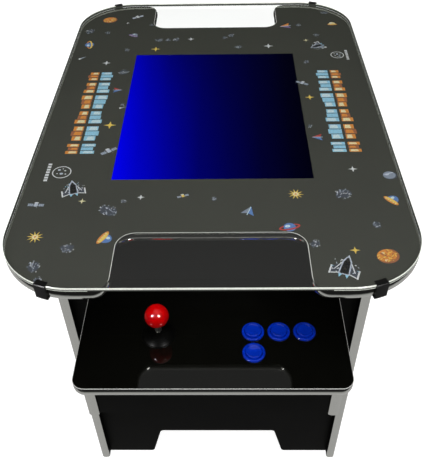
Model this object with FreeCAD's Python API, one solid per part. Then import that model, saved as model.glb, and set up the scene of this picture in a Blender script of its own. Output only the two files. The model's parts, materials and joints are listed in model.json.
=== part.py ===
"""Cocktail arcade table: a two-ended game cabinet with a hinged glass table top.

Millimetres, +Z up, origin on the floor under the middle of the cabinet. The long side of the
table runs along Y. One set of controls is at the near end (-Y), the other at the far end (+Y),
turned half a turn about Z. Every sub-part is written to parts/NODE.step.
"""
import FreeCAD
import Part
import math
import os

V = FreeCAD.Vector
UP = V(0, 0, 1)
ORIGIN = V(0, 0, 0)

# ---- driving dimensions ---------------------------------------------------------------------
BOARD = 15.0                # thickness of the cabinet boards
TRIM = 3.5                  # cap thickness of the T-moulding on board edges
TRIM_DOME = 2.0             # how far the cap bulges between its two edges
TONGUE = 7.0                # depth of the T-moulding tongue in its groove
TONGUE_T = 1.8              # thickness of that tongue
DOME_SECTIONS = 8           # outlines that the bulging cap is drawn through
FIT = 0.05                  # clearance of glued or pressed pieces
PLAY = 0.3                  # clearance between pieces that move past each other

TOP_Z = 730.0               # height of the glass surface
TOP_WIDTH = 560.0
TOP_LENGTH = 830.0
TOP_CORNER_R = 104.0
GLASS_T = 6.0
FILM_T = 0.5                # printed film between glass and board
NOTCH_DEPTH = 104.0         # how far the board is cut away over each control panel
NOTCH_HALF = 126.0
NOTCH_INNER_R = 24.0
NOTCH_OUTER_R = 25.0
WINDOW_X = 302.0            # picture seen through the film
WINDOW_Y = 386.0

BODY_HALF = 253.0           # outer faces of the side panels
BODY_DEPTH_HALF = 264.0     # front of the side panel edges, trim included
END_RECESS = 17.0           # end panels stand back from those edges
FOOT_CUT_TOP = 120.0        # half width of the foot cut-out at its top
FOOT_CUT_FLOOR = 141.0      # half width at the floor
FOOT_CUT_Z = 86.0
FOOT_CUT_R = 8.0
SHELF_Z = 100.0
WIRE_SLOT = 80.0            # width of the slot behind each control box
CLEAT = 20.0

PANEL_Z = 562.0             # top surface of the control panels
PANEL_HALF = 196.0
PANEL_FRONT = 450.0
PANEL_CORNER_R = 18.0
OVERLAY_T = 3.0
OVERLAY_BEVEL = 0.7         # polished bevel round its top
BOX_HALF = 185.0            # outer faces of the box under a control panel
BOX_FRONT = 436.0
BOX_BOTTOM_Z = 469.0
BOX_FLOOR_T = 9.0

BUTTON_PITCH = 38.0
BUTTON_X = 59.0             # first button column
BUTTON_REAR = 97.0          # rear row, behind the panel's front edge
BUTTON_FRONT = 59.5         # front button, behind the panel's front edge
BUTTON_HOLE_R = 14.3
BUTTON_TRAVEL = 3.0
STICK_X = -80.0
STICK_REAR = 93.0           # stick axis, behind the panel's front edge
STICK_DROP = 29.0           # pivot centre below the panel surface
STICK_BALL_R = 17.5
STICK_BALL_RISE = 43.0      # ball centre above the panel surface
STICK_R = 4.75
STICK_TILT = 7.0            # degrees each way, about each of the two pins

HINGE_Y = 150.0             # middle of each lid hinge
HINGE_LENGTH = 60.0
LOCK_Z = 686.0

# ---- derived levels -------------------------------------------------------------------------
FILM_Z = TOP_Z - GLASS_T - FILM_T
BOARD_Z = FILM_Z - BOARD                        # underside of the table board
INNER_HALF = BODY_HALF - BOARD
END_FACE = BODY_DEPTH_HALF - END_RECESS         # outer face of the end panels
END_TOP_Z = BOARD_Z - 1.5
PANEL_BOARD_Z = PANEL_Z - OVERLAY_T - BOARD     # underside of the control panel board
STICK_Y = STICK_REAR - PANEL_FRONT
BUTTON_REAR_Y = BUTTON_REAR - PANEL_FRONT
BUTTON_SPOTS = [(BUTTON_X + i * BUTTON_PITCH, BUTTON_REAR_Y) for i in range(3)]
BUTTON_SPOTS.append((BUTTON_X, BUTTON_FRONT - PANEL_FRONT))


# ---- shape helpers --------------------------------------------------------------------------
def box(x0, x1, y0, y1, z0, z1):
    """Box between two corners."""
    return Part.makeBox(x1 - x0, y1 - y0, z1 - z0, V(x0, y0, z0))


def rod(base, direction, radius, length):
    """Round bar from base along direction."""
    return Part.makeCylinder(radius, length, V(*base), V(*direction))


def tube(x, y, z0, z1, outer, inner):
    """Upright tube."""
    bar = rod((x, y, z0), UP, outer, z1 - z0)
    return bar.cut(rod((x, y, z0 - 1), UP, inner, z1 - z0 + 2))


def rounded_wire(corners):
    """Closed wire in XY through corners (x, y, radius), each rounded by a tangent arc."""
    count = len(corners)
    turns = []
    for i, (x, y, radius) in enumerate(corners):
        here = V(x, y, 0)
        before = V(*corners[i - 1][:2], 0) - here
        after = V(*corners[(i + 1) % count][:2], 0) - here
        before.normalize()
        after.normalize()
        half = before.getAngle(after) / 2
        reach = radius / math.tan(half)
        inward = before + after
        inward.normalize()
        middle = here + inward * (radius / math.sin(half) - radius)
        turns.append((here + before * reach, middle, here + after * reach))
    edges = []
    for i, (start, middle, end) in enumerate(turns):
        if corners[i][2] > 0:
            edges.append(Part.Arc(start, middle, end).toShape())
        following = turns[(i + 1) % count][0]
        if end.distanceToPoint(following) > 1e-6:
            edges.append(Part.LineSegment(end, following).toShape())
    return Part.Wire(edges)


def slab(corners, z0, z1):
    """Plate with the rounded outline, from z0 up to z1."""
    face = Part.Face(rounded_wire(corners))
    face.translate(V(0, 0, z0))
    return face.extrude(V(0, 0, z1 - z0))


def rectangle(half_x, half_y, radius):
    """Corners of a rounded rectangle about the origin."""
    signs = ((1, -1), (1, 1), (-1, 1), (-1, -1))
    return [(sx * half_x, sy * half_y, radius) for sx, sy in signs]


def spun(profile, x=0.0, y=0.0, z=0.0):
    """Solid of revolution about the upright axis through (x, y); profile is (radius, height)."""
    wire = Part.makePolygon([V(r, 0, h) for r, h in profile + profile[:1]])
    solid = Part.Face(wire).revolve(ORIGIN, UP, 360)
    solid.translate(V(x, y, z))
    return solid


def arc_points(radius, start, end, steps, height=0.0):
    """Points (radius, height) on a circle about (0, height); angles from the upright axis."""
    points = []
    for i in range(steps + 1):
        angle = math.radians(start + (end - start) * i / steps)
        points.append((radius * math.sin(angle), height + radius * math.cos(angle)))
    return points


def fused(pieces):
    """One solid from overlapping pieces."""
    return pieces[0].multiFuse(pieces[1:]).removeSplitter()


def turned(shape):
    """Copy of a near-end shape at the far end."""
    copy = shape.copy()
    copy.rotate(ORIGIN, UP, 180)
    return copy


def both_ends(shapes):
    """The near-end shapes and their far-end copies."""
    return list(shapes) + [turned(s) for s in shapes]


def coil(x, y, z0, z1, radius, wire_r, turns):
    """Compression spring: half turns of round wire, tilted so that each starts where the last ends."""
    rise = (z1 - z0) / (2 * turns)
    halves = []
    for i in range(2 * turns):
        side = -1 if i % 2 else 1
        start = V(-side * radius, 0, z0 + i * rise)
        middle = V(0, 0, z0 + (i + 0.5) * rise)
        axis = (start - middle).cross(V(0, -side, 0))
        section = Part.Face(Part.Wire(Part.makeCircle(wire_r, start, V(0, 1, 0))))
        halves.append(section.revolve(middle, axis, 180))
    spring = fused(halves)
    spring.translate(V(x, y, 0))
    return spring


def save(node, shapes):
    """Write one node; a list becomes a group of separate solids."""
    if isinstance(shapes, list):
        solids = [solid for shape in shapes for solid in shape.Solids]
    else:
        solids = shapes.Solids
    whole = solids[0] if len(solids) == 1 else Part.makeCompound(solids)
    whole.exportStep("parts/" + node + ".step")


# ---- screws ---------------------------------------------------------------------------------
def screw(point, direction, shank_r=1.7, length=12.0, head_r=3.4, head_h=1.6):
    """Pan-head wood screw: the head sits on point, the shank runs along direction."""
    along = V(*direction)
    head = rod(V(*point) - along * head_h, along, head_r, head_h)
    head = head.makeFillet(head_h * 0.6, [e for e in head.Edges if is_rim(e, point, along, head_h)])
    recess = rod(V(*point) - along * head_h, along, head_r * 0.4, head_h * 0.6)
    return head.fuse(rod(point, along, shank_r, length)).cut(recess)


def is_rim(edge, point, along, head_h):
    """True for the outer circle of a screw head."""
    if edge.Length < 1 or edge.isClosed() is False:
        return False
    return abs((edge.CenterOfMass - V(*point)).dot(along) + head_h) < 1e-6


def pilot(point, direction, shank_r=1.7, length=12.0):
    """Hole that a screw's shank fills."""
    along = V(*direction)
    return rod(V(*point) - along, along, shank_r + FIT, length + 1 + FIT)


# ---- T-moulding -----------------------------------------------------------------------------
def tongue_z(z0):
    """Lower face of the tongue on a board whose underside is at z0."""
    return z0 + (BOARD - TONGUE_T) / 2


def dome_inset(height):
    """How far the cap's surface stands back at a height above the board's underside."""
    half = BOARD / 2
    radius = (half ** 2 + TRIM_DOME ** 2) / (2 * TRIM_DOME)
    return radius - math.sqrt(radius ** 2 - (height - half) ** 2)


def domed_slab(outline, z0):
    """Plate of the board's thickness whose edge bulges along an arc."""
    sections = []
    for i in range(DOME_SECTIONS + 1):
        height = BOARD * i / DOME_SECTIONS
        wire = rounded_wire(outline(dome_inset(height)))
        wire.translate(V(0, 0, z0 + height))
        sections.append(wire)
    return Part.makeLoft(sections, True, False)


def trim_ring(outline, z0):
    """T-moulding round a board: outline(inset) gives the corners of the outline."""
    cap = domed_slab(outline, z0).cut(slab(outline(TRIM), z0 - 1, z0 + BOARD + 1))
    low = tongue_z(z0)
    tongue = slab(outline(TRIM / 2), low, low + TONGUE_T)
    tongue = tongue.cut(slab(outline(TRIM + TONGUE), low - 1, low + TONGUE_T + 1))
    return cap.fuse(tongue)


def grooved_board(outline, z0):
    """Board that takes the T-moulding of trim_ring."""
    board = slab(outline(TRIM + FIT), z0, z0 + BOARD)
    low = tongue_z(z0) - FIT
    high = low + TONGUE_T + 2 * FIT
    groove = slab(outline(0), low, high).cut(slab(outline(TRIM + TONGUE + FIT), low - 1, high + 1))
    return board.cut(groove)


def edge_strip(x, y_face, z0, z1):
    """Upright T-moulding on a board edge that faces -Y; x is the middle of the board."""
    left, right = x - BOARD / 2, x + BOARD / 2
    rim, back = y_face + TRIM_DOME, y_face + TRIM
    arc = Part.Arc(V(left, rim, z0), V(x, y_face, z0), V(right, rim, z0)).toShape()
    rest = Part.makePolygon([V(right, rim, z0), V(right, back, z0), V(left, back, z0), V(left, rim, z0)])
    cap = Part.Face(Part.Wire([arc] + rest.Edges)).extrude(V(0, 0, z1 - z0))
    half = TONGUE_T / 2
    return cap.fuse(box(x - half, x + half, y_face + TRIM / 2, y_face + TRIM + TONGUE, z0, z1))


def edge_groove(x, y_face, z0, z1):
    """Groove that takes the tongue of edge_strip."""
    half = TONGUE_T / 2 + FIT
    return box(x - half, x + half, y_face, y_face + TRIM + TONGUE + FIT, z0 - 1, z1 + 1)


# ---- table top (lid) ------------------------------------------------------------------------
def top_outline(inset, notch_inset=None):
    """Corners of the notched table outline, moved inwards by inset, or by notch_inset round the notches."""
    if notch_inset is None:
        notch_inset = inset
    half_x = TOP_WIDTH / 2 - inset
    half_y = TOP_LENGTH / 2 - inset
    notch_x = NOTCH_HALF + notch_inset
    notch_y = TOP_LENGTH / 2 - NOTCH_DEPTH - notch_inset
    corner = TOP_CORNER_R - inset
    quarter = [(notch_x, notch_y, NOTCH_INNER_R + notch_inset), (notch_x, half_y, NOTCH_OUTER_R - notch_inset),
               (half_x, half_y, corner)]
    right = [(x, -y, r) for x, y, r in quarter] + quarter[::-1]
    return right + [(-x, -y, r) for x, y, r in right]


def corner_turn(shape, index):
    """Copy of a piece made at the +X +Y corner, moved to another corner of the table."""
    copy = shape.copy()
    if index in (1, 2):
        copy = copy.mirror(ORIGIN, V(1, 0, 0))
    if index in (2, 3):
        copy = copy.mirror(ORIGIN, V(0, 1, 0))
    return copy


FILM_MARGIN = 0.8           # bare glass outside the film
FILM_NOTCH_MARGIN = 2.8     # and round the notches
CLIP_ANGLE = 70.0           # where on the corner arc the clip sits, from the +X direction
CLIP_SPAN = 9.0             # degrees of the arc that it covers
CLIP_LIP = 6.0              # how far the lip reaches over the glass
CLIP_FOOT = 19.0            # how far the screwed foot reaches under the board
CLIP_SCREW = 14.0           # screw axis, in from the board's edge
CLIP_WALL = 3.0
CLIP_LIP_T = 1.5            # thickness of the lip and of the foot
CLIP_GAP = 0.2              # between the clip and what it wraps


def glass_clip():
    """C-shaped plastic clip that wraps the glass and the board at the +X +Y corner."""
    edge = TOP_CORNER_R
    inner = edge + CLIP_GAP
    top = TOP_Z + CLIP_GAP
    bottom = BOARD_Z - CLIP_GAP
    outer = inner + CLIP_WALL
    profile = [(edge - CLIP_LIP, top), (inner, top), (inner, bottom),
               (edge - CLIP_FOOT, bottom), (edge - CLIP_FOOT, bottom - CLIP_LIP_T),
               (outer - 1, bottom - CLIP_LIP_T), (outer, bottom - CLIP_LIP_T + 1),
               (outer, top + CLIP_LIP_T - 1), (outer - 1, top + CLIP_LIP_T),
               (edge - CLIP_LIP, top + CLIP_LIP_T)]
    face = Part.Face(Part.makePolygon([V(r, 0, z) for r, z in profile + profile[:1]]))
    clip = face.revolve(ORIGIN, UP, CLIP_SPAN)
    clip.rotate(ORIGIN, UP, CLIP_ANGLE - CLIP_SPAN / 2)
    clip.translate(V(TOP_WIDTH / 2 - edge, TOP_LENGTH / 2 - edge, 0))
    return clip


def clip_screw_spot():
    """Where the screw of the +X +Y clip enters the board from below."""
    angle = math.radians(CLIP_ANGLE)
    radius = TOP_CORNER_R - CLIP_SCREW
    x = TOP_WIDTH / 2 - TOP_CORNER_R + radius * math.cos(angle)
    y = TOP_LENGTH / 2 - TOP_CORNER_R + radius * math.sin(angle)
    return (x, y, BOARD_Z - CLIP_GAP - CLIP_LIP_T)


LCD_MARGIN_X = 11.0         # frame of the picture module outside the window
LCD_MARGIN_Y = 10.0
LCD_GLASS_T = 5.0
LCD_DEPTH = 18.0
LCD_WALL = 1.2              # rim of the module round its glass
STRAP_Y = 130.0             # middle of each steel strap under the module
STRAP_W = 30.0
STRAP_T = 1.5
STRAP_HOLE_R = 2.0
STRAP_FOOT = 26.0           # length of the strap's screwed foot


def lcd_module():
    """Screen glass and the backlight module that it is set into."""
    half_x = WINDOW_X / 2 + LCD_MARGIN_X
    half_y = WINDOW_Y / 2 + LCD_MARGIN_Y
    top = FILM_Z - FIT
    inner_x = half_x - LCD_WALL
    inner_y = half_y - LCD_WALL
    screen = box(-inner_x + FIT, inner_x - FIT, -inner_y + FIT, inner_y - FIT, top - LCD_GLASS_T, top)
    module = box(-half_x, half_x, -half_y, half_y, top - LCD_DEPTH, top)
    return screen, module.cut(box(-inner_x, inner_x, -inner_y, inner_y, top - LCD_GLASS_T, top + 1))


def strap_spots():
    """Screw points of the two straps, in the plane of their feet."""
    foot = WINDOW_X / 2 + LCD_MARGIN_X + 4 + STRAP_FOOT / 2
    z = BOARD_Z - STRAP_T
    return [(sx * foot, sy * STRAP_Y + dy, z) for sx in (-1, 1) for sy in (-1, 1) for dy in (-9, 9)]


def lcd_straps():
    """Two bent steel straps that hold the picture module up into the board."""
    under = FILM_Z - FIT - LCD_DEPTH
    reach = WINDOW_X / 2 + LCD_MARGIN_X + 2.5
    straps = []
    for y in (-STRAP_Y, STRAP_Y):
        y0 = y - STRAP_W / 2
        y1 = y + STRAP_W / 2
        pieces = [box(-reach, reach, y0, y1, under - STRAP_T, under)]
        for side in (-1, 1):
            inner = side * (reach - STRAP_T)
            outer = side * (reach + STRAP_FOOT)
            ends = sorted((inner, outer))
            pieces.append(box(*ends, y0, y1, BOARD_Z - STRAP_T, BOARD_Z))
            rise = sorted((inner, side * reach))
            pieces.append(box(*rise, y0, y1, under - STRAP_T, BOARD_Z))
        strap = fused(pieces)
        for spot in strap_spots():
            strap = strap.cut(rod((spot[0], spot[1], 0), UP, STRAP_HOLE_R, TOP_Z))
        straps.append(strap)
    return straps


# ---- lid hinges and lock --------------------------------------------------------------------
KNUCKLE_R = 3.0
PIN_R = 1.5
LEAF_T = 1.5
HINGE_X = -(BODY_HALF + LEAF_T + KNUCKLE_R)
HINGE_Z = BOARD_Z - LEAF_T - KNUCKLE_R
LEAF_SPAN = 17.0            # width of the moving leaf
LEAF_DROP = 28.0            # height of the fixed leaf
HINGE_SCREW_DROP = 17.0     # fixed screws, below the pin
HINGE_SCREW_IN = 10.0       # moving screws, beside the pin
HINGE_SCREW_PITCH = 20.0
SCREW_HOLE_R = 2.0


def hinge_screws(y):
    """Screw points (fixed leaf, moving leaf) of the hinge whose middle is at y."""
    places = [y + i * HINGE_SCREW_PITCH for i in (-1, 0, 1)]
    fixed = [(-BODY_HALF - LEAF_T, place, HINGE_Z - HINGE_SCREW_DROP) for place in places]
    moving = [(HINGE_X - HINGE_SCREW_IN, place, BOARD_Z - LEAF_T) for place in places]
    return fixed, moving


def hinge(y):
    """Butt hinge: the fixed leaf carries the pin, the moving leaf turns on it."""
    y0 = y - HINGE_LENGTH / 2
    third = HINGE_LENGTH / 3
    gap = PLAY
    fixed_spots, moving_spots = hinge_screws(y)
    outer_knuckles = [rod((HINGE_X, y0, HINGE_Z), (0, 1, 0), KNUCKLE_R, third - gap / 2),
                      rod((HINGE_X, y0 + 2 * third + gap / 2, HINGE_Z), (0, 1, 0), KNUCKLE_R,
                          third - gap / 2)]
    leaf = box(-BODY_HALF - LEAF_T, -BODY_HALF, y0, y0 + HINGE_LENGTH, HINGE_Z - LEAF_DROP, HINGE_Z)
    necks = [box(HINGE_X, -BODY_HALF, a, a + third - gap / 2, HINGE_Z - KNUCKLE_R, HINGE_Z)
             for a in (y0, y0 + 2 * third + gap / 2)]
    relief = rod((HINGE_X, y0 + third - gap / 2, HINGE_Z), (0, 1, 0), KNUCKLE_R + PLAY, third + gap)
    leaf = leaf.cut(relief)
    pin = rod((HINGE_X, y0, HINGE_Z), (0, 1, 0), PIN_R, HINGE_LENGTH)
    fixed = fused([leaf] + necks + outer_knuckles + [pin])
    for spot in fixed_spots:
        fixed = fixed.cut(rod((spot[0] - 5, spot[1], spot[2]), (1, 0, 0), SCREW_HOLE_R, 12))
    inner = rod((HINGE_X, y0 + third + gap / 2, HINGE_Z), (0, 1, 0), KNUCKLE_R, third - gap)
    plate = box(HINGE_X - LEAF_SPAN, HINGE_X, y0, y0 + HINGE_LENGTH, BOARD_Z - LEAF_T, BOARD_Z)
    neck = box(HINGE_X - KNUCKLE_R, HINGE_X, y0 + third + gap / 2, y0 + 2 * third - gap / 2,
               HINGE_Z, BOARD_Z)
    for start in (y0 - 1, y0 + 2 * third - gap / 2):
        plate = plate.cut(rod((HINGE_X, start, HINGE_Z), (0, 1, 0), KNUCKLE_R + PLAY, third + 1 + gap / 2))
    moving = fused([plate, neck, inner])
    moving = moving.cut(rod((HINGE_X, y0 - 1, HINGE_Z), (0, 1, 0), PIN_R + FIT, HINGE_LENGTH + 2))
    for spot in moving_spots:
        moving = moving.cut(rod((spot[0], spot[1], spot[2] - 5), UP, SCREW_HOLE_R, 12))
    return fixed, moving


LOCK_R = 8.0
LOCK_INNER = 228.0          # inner end of the lock barrel
CAM_PLANE = 224.0           # inner face of the cam
CAM_T = 2.0
CAM_REACH = 20.0
CAM_HALF = 5.5
PLUG_R = 5.0


def lock():
    """Cam lock in the right side panel: still housing with its nut, and the turning cam."""
    face = BODY_HALF
    housing = rod((LOCK_INNER, 0, LOCK_Z), (1, 0, 0), LOCK_R, face - LOCK_INNER)
    housing = housing.fuse(rod((face, 0, LOCK_Z), (1, 0, 0), 10.5, 1.8))
    housing = housing.cut(rod((LOCK_INNER - 1, 0, LOCK_Z), (1, 0, 0), PLUG_R + FIT, 40))
    nut = Part.Face(Part.makePolygon([hexagon_point(i, 12.0) for i in range(7)])).extrude(V(4, 0, 0))
    nut.translate(V(INNER_HALF - 4, 0, LOCK_Z))
    nut = nut.cut(rod((LOCK_INNER, 0, LOCK_Z), (1, 0, 0), LOCK_R + FIT, 20))
    plug = rod((CAM_PLANE, 0, LOCK_Z), (1, 0, 0), PLUG_R, face + 1.2 - CAM_PLANE)
    plug = plug.cut(box(face - 8, face + 5, -0.7, 0.7, LOCK_Z - 3.2, LOCK_Z + 3.2))
    arm = box(CAM_PLANE, CAM_PLANE + CAM_T, -CAM_HALF, CAM_HALF, LOCK_Z, LOCK_Z + CAM_REACH - CAM_HALF)
    round_ends = [rod((CAM_PLANE, 0, z), (1, 0, 0), CAM_HALF, CAM_T)
                  for z in (LOCK_Z, LOCK_Z + CAM_REACH - CAM_HALF)]
    cam = fused([plug, arm] + round_ends)
    return housing, nut, cam


def hexagon_point(i, radius):
    """Corner of a hexagon in the YZ plane."""
    angle = math.radians(60 * i)
    return V(0, radius * math.cos(angle), radius * math.sin(angle))


def lock_strike():
    """Plate on the lid whose lip the cam turns over, so that the lid can't lift."""
    low = LOCK_Z - CAM_HALF - 5
    web = box(CAM_PLANE - 3, CAM_PLANE - 1, 8, 26, low, BOARD_Z)
    lip = box(CAM_PLANE - 3, LOCK_INNER - 0.6, 8, 26, low, low + 2)
    foot = box(CAM_PLANE - 21, CAM_PLANE - 1, 8, 26, BOARD_Z - 2, BOARD_Z)
    strike = fused([web, lip, foot])
    for spot in strike_spots():
        strike = strike.cut(rod((spot[0], spot[1], spot[2] - 2), UP, SCREW_HOLE_R, 8))
    return strike


def strike_spots():
    """Screw points of the strike's foot."""
    return [(CAM_PLANE - 12, y, BOARD_Z - 2) for y in (12.5, 21.5)]


def table_top():
    """Everything that lifts with the lid."""
    glass = slab(rectangle(TOP_WIDTH / 2, TOP_LENGTH / 2, TOP_CORNER_R), TOP_Z - GLASS_T, TOP_Z)
    rims = [e for e in glass.Edges if abs(e.BoundBox.ZMax - e.BoundBox.ZMin) < 1e-6]
    save("glass_top", glass.makeChamfer(0.8, rims))
    film = slab(top_outline(FILM_MARGIN, FILM_NOTCH_MARGIN), FILM_Z, FILM_Z + FILM_T)
    window = box(-WINDOW_X / 2, WINDOW_X / 2, -WINDOW_Y / 2, WINDOW_Y / 2, 0, TOP_Z)
    save("art_film", film.cut(window))
    save("table_trim", trim_ring(top_outline, BOARD_Z))
    opening_x = WINDOW_X / 2 + LCD_MARGIN_X + 1
    opening_y = WINDOW_Y / 2 + LCD_MARGIN_Y + 1
    board = grooved_board(top_outline, BOARD_Z)
    board = board.cut(box(-opening_x, opening_x, -opening_y, opening_y, 0, TOP_Z))
    spots = strap_spots() + strike_spots()
    hinges = [hinge(y) for y in (-HINGE_Y, HINGE_Y)]
    for y in (-HINGE_Y, HINGE_Y):
        spots += hinge_screws(y)[1]
    clips = [corner_turn(glass_clip(), i) for i in range(4)]
    clip_fixing = screw(clip_screw_spot(), (0, 0, 1), 1.5, 11.0, 2.8, 1.4)
    clip_hole = pilot(clip_screw_spot(), (0, 0, 1), 1.5, 11.0)
    screws = [corner_turn(clip_fixing, i) for i in range(4)]
    for i in range(4):
        board = board.cut(corner_turn(clip_hole, i))
    clips = [clip.cut(corner_turn(clip_hole, i)) for i, clip in enumerate(clips)]
    for spot in spots:
        screws.append(screw(spot, (0, 0, 1), 1.7, 11.0))
        board = board.cut(pilot(spot, (0, 0, 1), 1.7, 11.0))
    save("table_board", board)
    save("glass_clips", clips)
    save("lid_screws", screws)
    screen, tray = lcd_module()
    save("lcd_screen", screen)
    save("lcd_case", tray)
    save("lcd_straps", lcd_straps())
    save("hinge_fixed_leaves", [fixed for fixed, moving in hinges])
    save("hinge_moving_leaves", [moving for fixed, moving in hinges])
    save("lock_strike", lock_strike())


# ---- cabinet body ---------------------------------------------------------------------------
def side_panel(side):
    """Side board with the grooves of its two edge strips; side is -1 or 1."""
    middle = side * (BODY_HALF - BOARD / 2)
    reach = BODY_DEPTH_HALF - TRIM - FIT
    x0, x1 = sorted((side * BODY_HALF, side * INNER_HALF))
    panel = box(x0, x1, -reach, reach, 0, BOARD_Z)
    grooves = both_ends([edge_groove(-middle, -BODY_DEPTH_HALF, 0, BOARD_Z),
                         edge_groove(middle, -BODY_DEPTH_HALF, 0, BOARD_Z)])
    for groove in grooves:
        panel = panel.cut(groove)
    if side < 0:
        for y in (-HINGE_Y, HINGE_Y):
            for spot in hinge_screws(y)[0]:
                panel = panel.cut(pilot(spot, (1, 0, 0), 1.7, 12.0))
    else:
        panel = panel.cut(rod((LOCK_INNER, 0, LOCK_Z), (1, 0, 0), LOCK_R + FIT, 40))
    return panel


def end_panel():
    """Near end board with the foot cut-out and the slot for the control wires."""
    corners = [(-INNER_HALF, 0, 0), (-FOOT_CUT_FLOOR, 0, FOOT_CUT_R), (-FOOT_CUT_TOP, FOOT_CUT_Z, FOOT_CUT_R),
               (FOOT_CUT_TOP, FOOT_CUT_Z, FOOT_CUT_R), (FOOT_CUT_FLOOR, 0, FOOT_CUT_R),
               (INNER_HALF, 0, 0), (INNER_HALF, END_TOP_Z, 0), (-INNER_HALF, END_TOP_Z, 0)]
    panel = slab(corners, 0, BOARD)
    slot = slab([(x, y + (BOX_BOTTOM_Z + PANEL_BOARD_Z) / 2, r) for x, y, r in rectangle(WIRE_SLOT / 2, 20, 10)],
                -1, BOARD + 1)
    panel = panel.cut(slot)
    panel.rotate(ORIGIN, V(1, 0, 0), 90)
    panel.translate(V(0, BOARD - END_FACE, 0))
    return panel


INLET_X = -150.0            # power inlet, on the far end panel
INLET_Z = 160.0
INLET_HALF_X = 24.0
INLET_HALF_Z = 29.0
ROCKER_Z = INLET_Z + 13
ROCKER_HALF = 7.6


def cabinet_body():
    """Boards of the cabinet, their edge strips, cleats and shelf."""
    save("side_panel_left", side_panel(-1))
    save("side_panel_right", side_panel(1))
    middle = BODY_HALF - BOARD / 2
    strips = [edge_strip(x, -BODY_DEPTH_HALF, 1.0, BOARD_Z - 0.5) for x in (-middle, middle)]
    save("side_trims", both_ends(strips))
    near = end_panel()
    save("end_panel_near", near)
    cutout = box(INLET_X - INLET_HALF_X + 2, INLET_X + INLET_HALF_X - 2, 0, END_FACE + 1,
                 INLET_Z - INLET_HALF_Z + 2, INLET_Z + INLET_HALF_Z - 2)
    save("end_panel_far", turned(near).cut(cutout))
    inner_y = END_FACE - BOARD
    top = SHELF_Z + BOARD
    post = box(INNER_HALF - CLEAT, INNER_HALF, inner_y - CLEAT, inner_y, top, BOARD_Z - 10)
    bearer = box(INNER_HALF - CLEAT, INNER_HALF, 20 - inner_y, inner_y - 20, SHELF_Z - CLEAT, SHELF_Z)
    save("cleats", [corner_turn(post, i) for i in range(4)] + both_ends([bearer]))
    shelf = box(-INNER_HALF, INNER_HALF, -inner_y, inner_y, SHELF_Z, top)
    shelf = shelf.cut(rod((SPEAKER_X, SPEAKER_Y, 0), UP, SPEAKER_HOLE_R, TOP_Z))
    save("equipment_shelf", shelf)


# ---- equipment inside -----------------------------------------------------------------------
SPEAKER_X = 130.0
SPEAKER_Y = -110.0
SPEAKER_R = 51.0
SPEAKER_HOLE_R = 43.0
SUPPLY = (-200.0, -40.0, 30.0, 130.0, 42.0)     # x0, x1, y0, y1, height
BOARD_SIZE = (-200.0, 0.0, -180.0, -30.0)       # game board: x0, x1, y0, y1
STANDOFF = 8.0


def speaker():
    """Round loudspeaker that plays down through the shelf."""
    profile = [(SPEAKER_R, 0), (SPEAKER_R, 2), (46, 2), (24, 26), (24, 30), (33, 30), (33, 44), (0, 44),
               (0, 14), (12, 14), (20, 22), (43.5, 0)]
    return spun(profile, SPEAKER_X, SPEAKER_Y, SHELF_Z + BOARD)


def power_supply():
    """Sheet-metal power supply with a terminal strip."""
    x0, x1, y0, y1, height = SUPPLY
    z0 = SHELF_Z + BOARD
    case = box(x0, x1, y0, y1, z0, z0 + height)
    case = case.cut(box(x0 + 1, x1 - 18, y0 + 1, y1 - 1, z0 + 1, z0 + height - 1))
    case = case.cut(box(x1 - 17, x1 + 1, y0 + 1, y1 - 1, z0 + 1, z0 + height + 1))
    for i in range(9):
        x = x0 + 15 + i * 12
        case = case.cut(box(x, x + 5, y0 + 15, y1 - 15, z0 + height - 2, z0 + height + 1))
    strip = box(x1 - 15, x1 - 3, y0 + 8, y1 - 8, z0 + 1 + FIT, z0 + 14)
    for i in range(7):
        y = y0 + 14 + i * 11.5
        strip = strip.cut(box(x1 - 13, x1, y, y + 8, z0 + 9, z0 + 20))
    return [case, strip]


def game_board():
    """Game circuit board on stand-offs, with its main chips, cooler and connectors."""
    x0, x1, y0, y1 = BOARD_SIZE
    z0 = SHELF_Z + BOARD
    zb = z0 + STANDOFF
    zt = zb + 1.6
    board = box(x0, x1, y0, y1, zb, zt)
    posts = [rod((x, y, z0), UP, 3.5, STANDOFF) for x in (x0 + 6, x1 - 6) for y in (y0 + 6, y1 - 6)]
    for x in (x0 + 6, x1 - 6):
        for y in (y0 + 6, y1 - 6):
            board = board.cut(rod((x, y, zb - 1), UP, 1.7, 4))
    places = [(20, 30, 24, 24, 3), (60, 24, 14, 20, 2.5), (84, 24, 14, 20, 2.5), (20, 80, 30, 12, 2),
              (140, 20, 40, 10, 12), (30, 132, 120, 12, 9)]
    parts = [box(x0 + x, x0 + x + w, y0 + y, y0 + y + d, zt, zt + h) for x, y, w, d, h in places]
    cooler = box(x0 + 110, x0 + 150, y0 + 60, y0 + 100, zt, zt + 4)
    fins = [box(x0 + 110 + 5 * i, x0 + 112 + 5 * i, y0 + 60, y0 + 100, zt + 3, zt + 20) for i in range(8)]
    cans = [rod((x0 + 170 + 10 * (i % 2), y0 + 60 + 14 * i, zt), UP, 4, 12) for i in range(4)]
    return [fused([board] + parts + cans)] + posts + [fused([cooler] + fins)]


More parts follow.
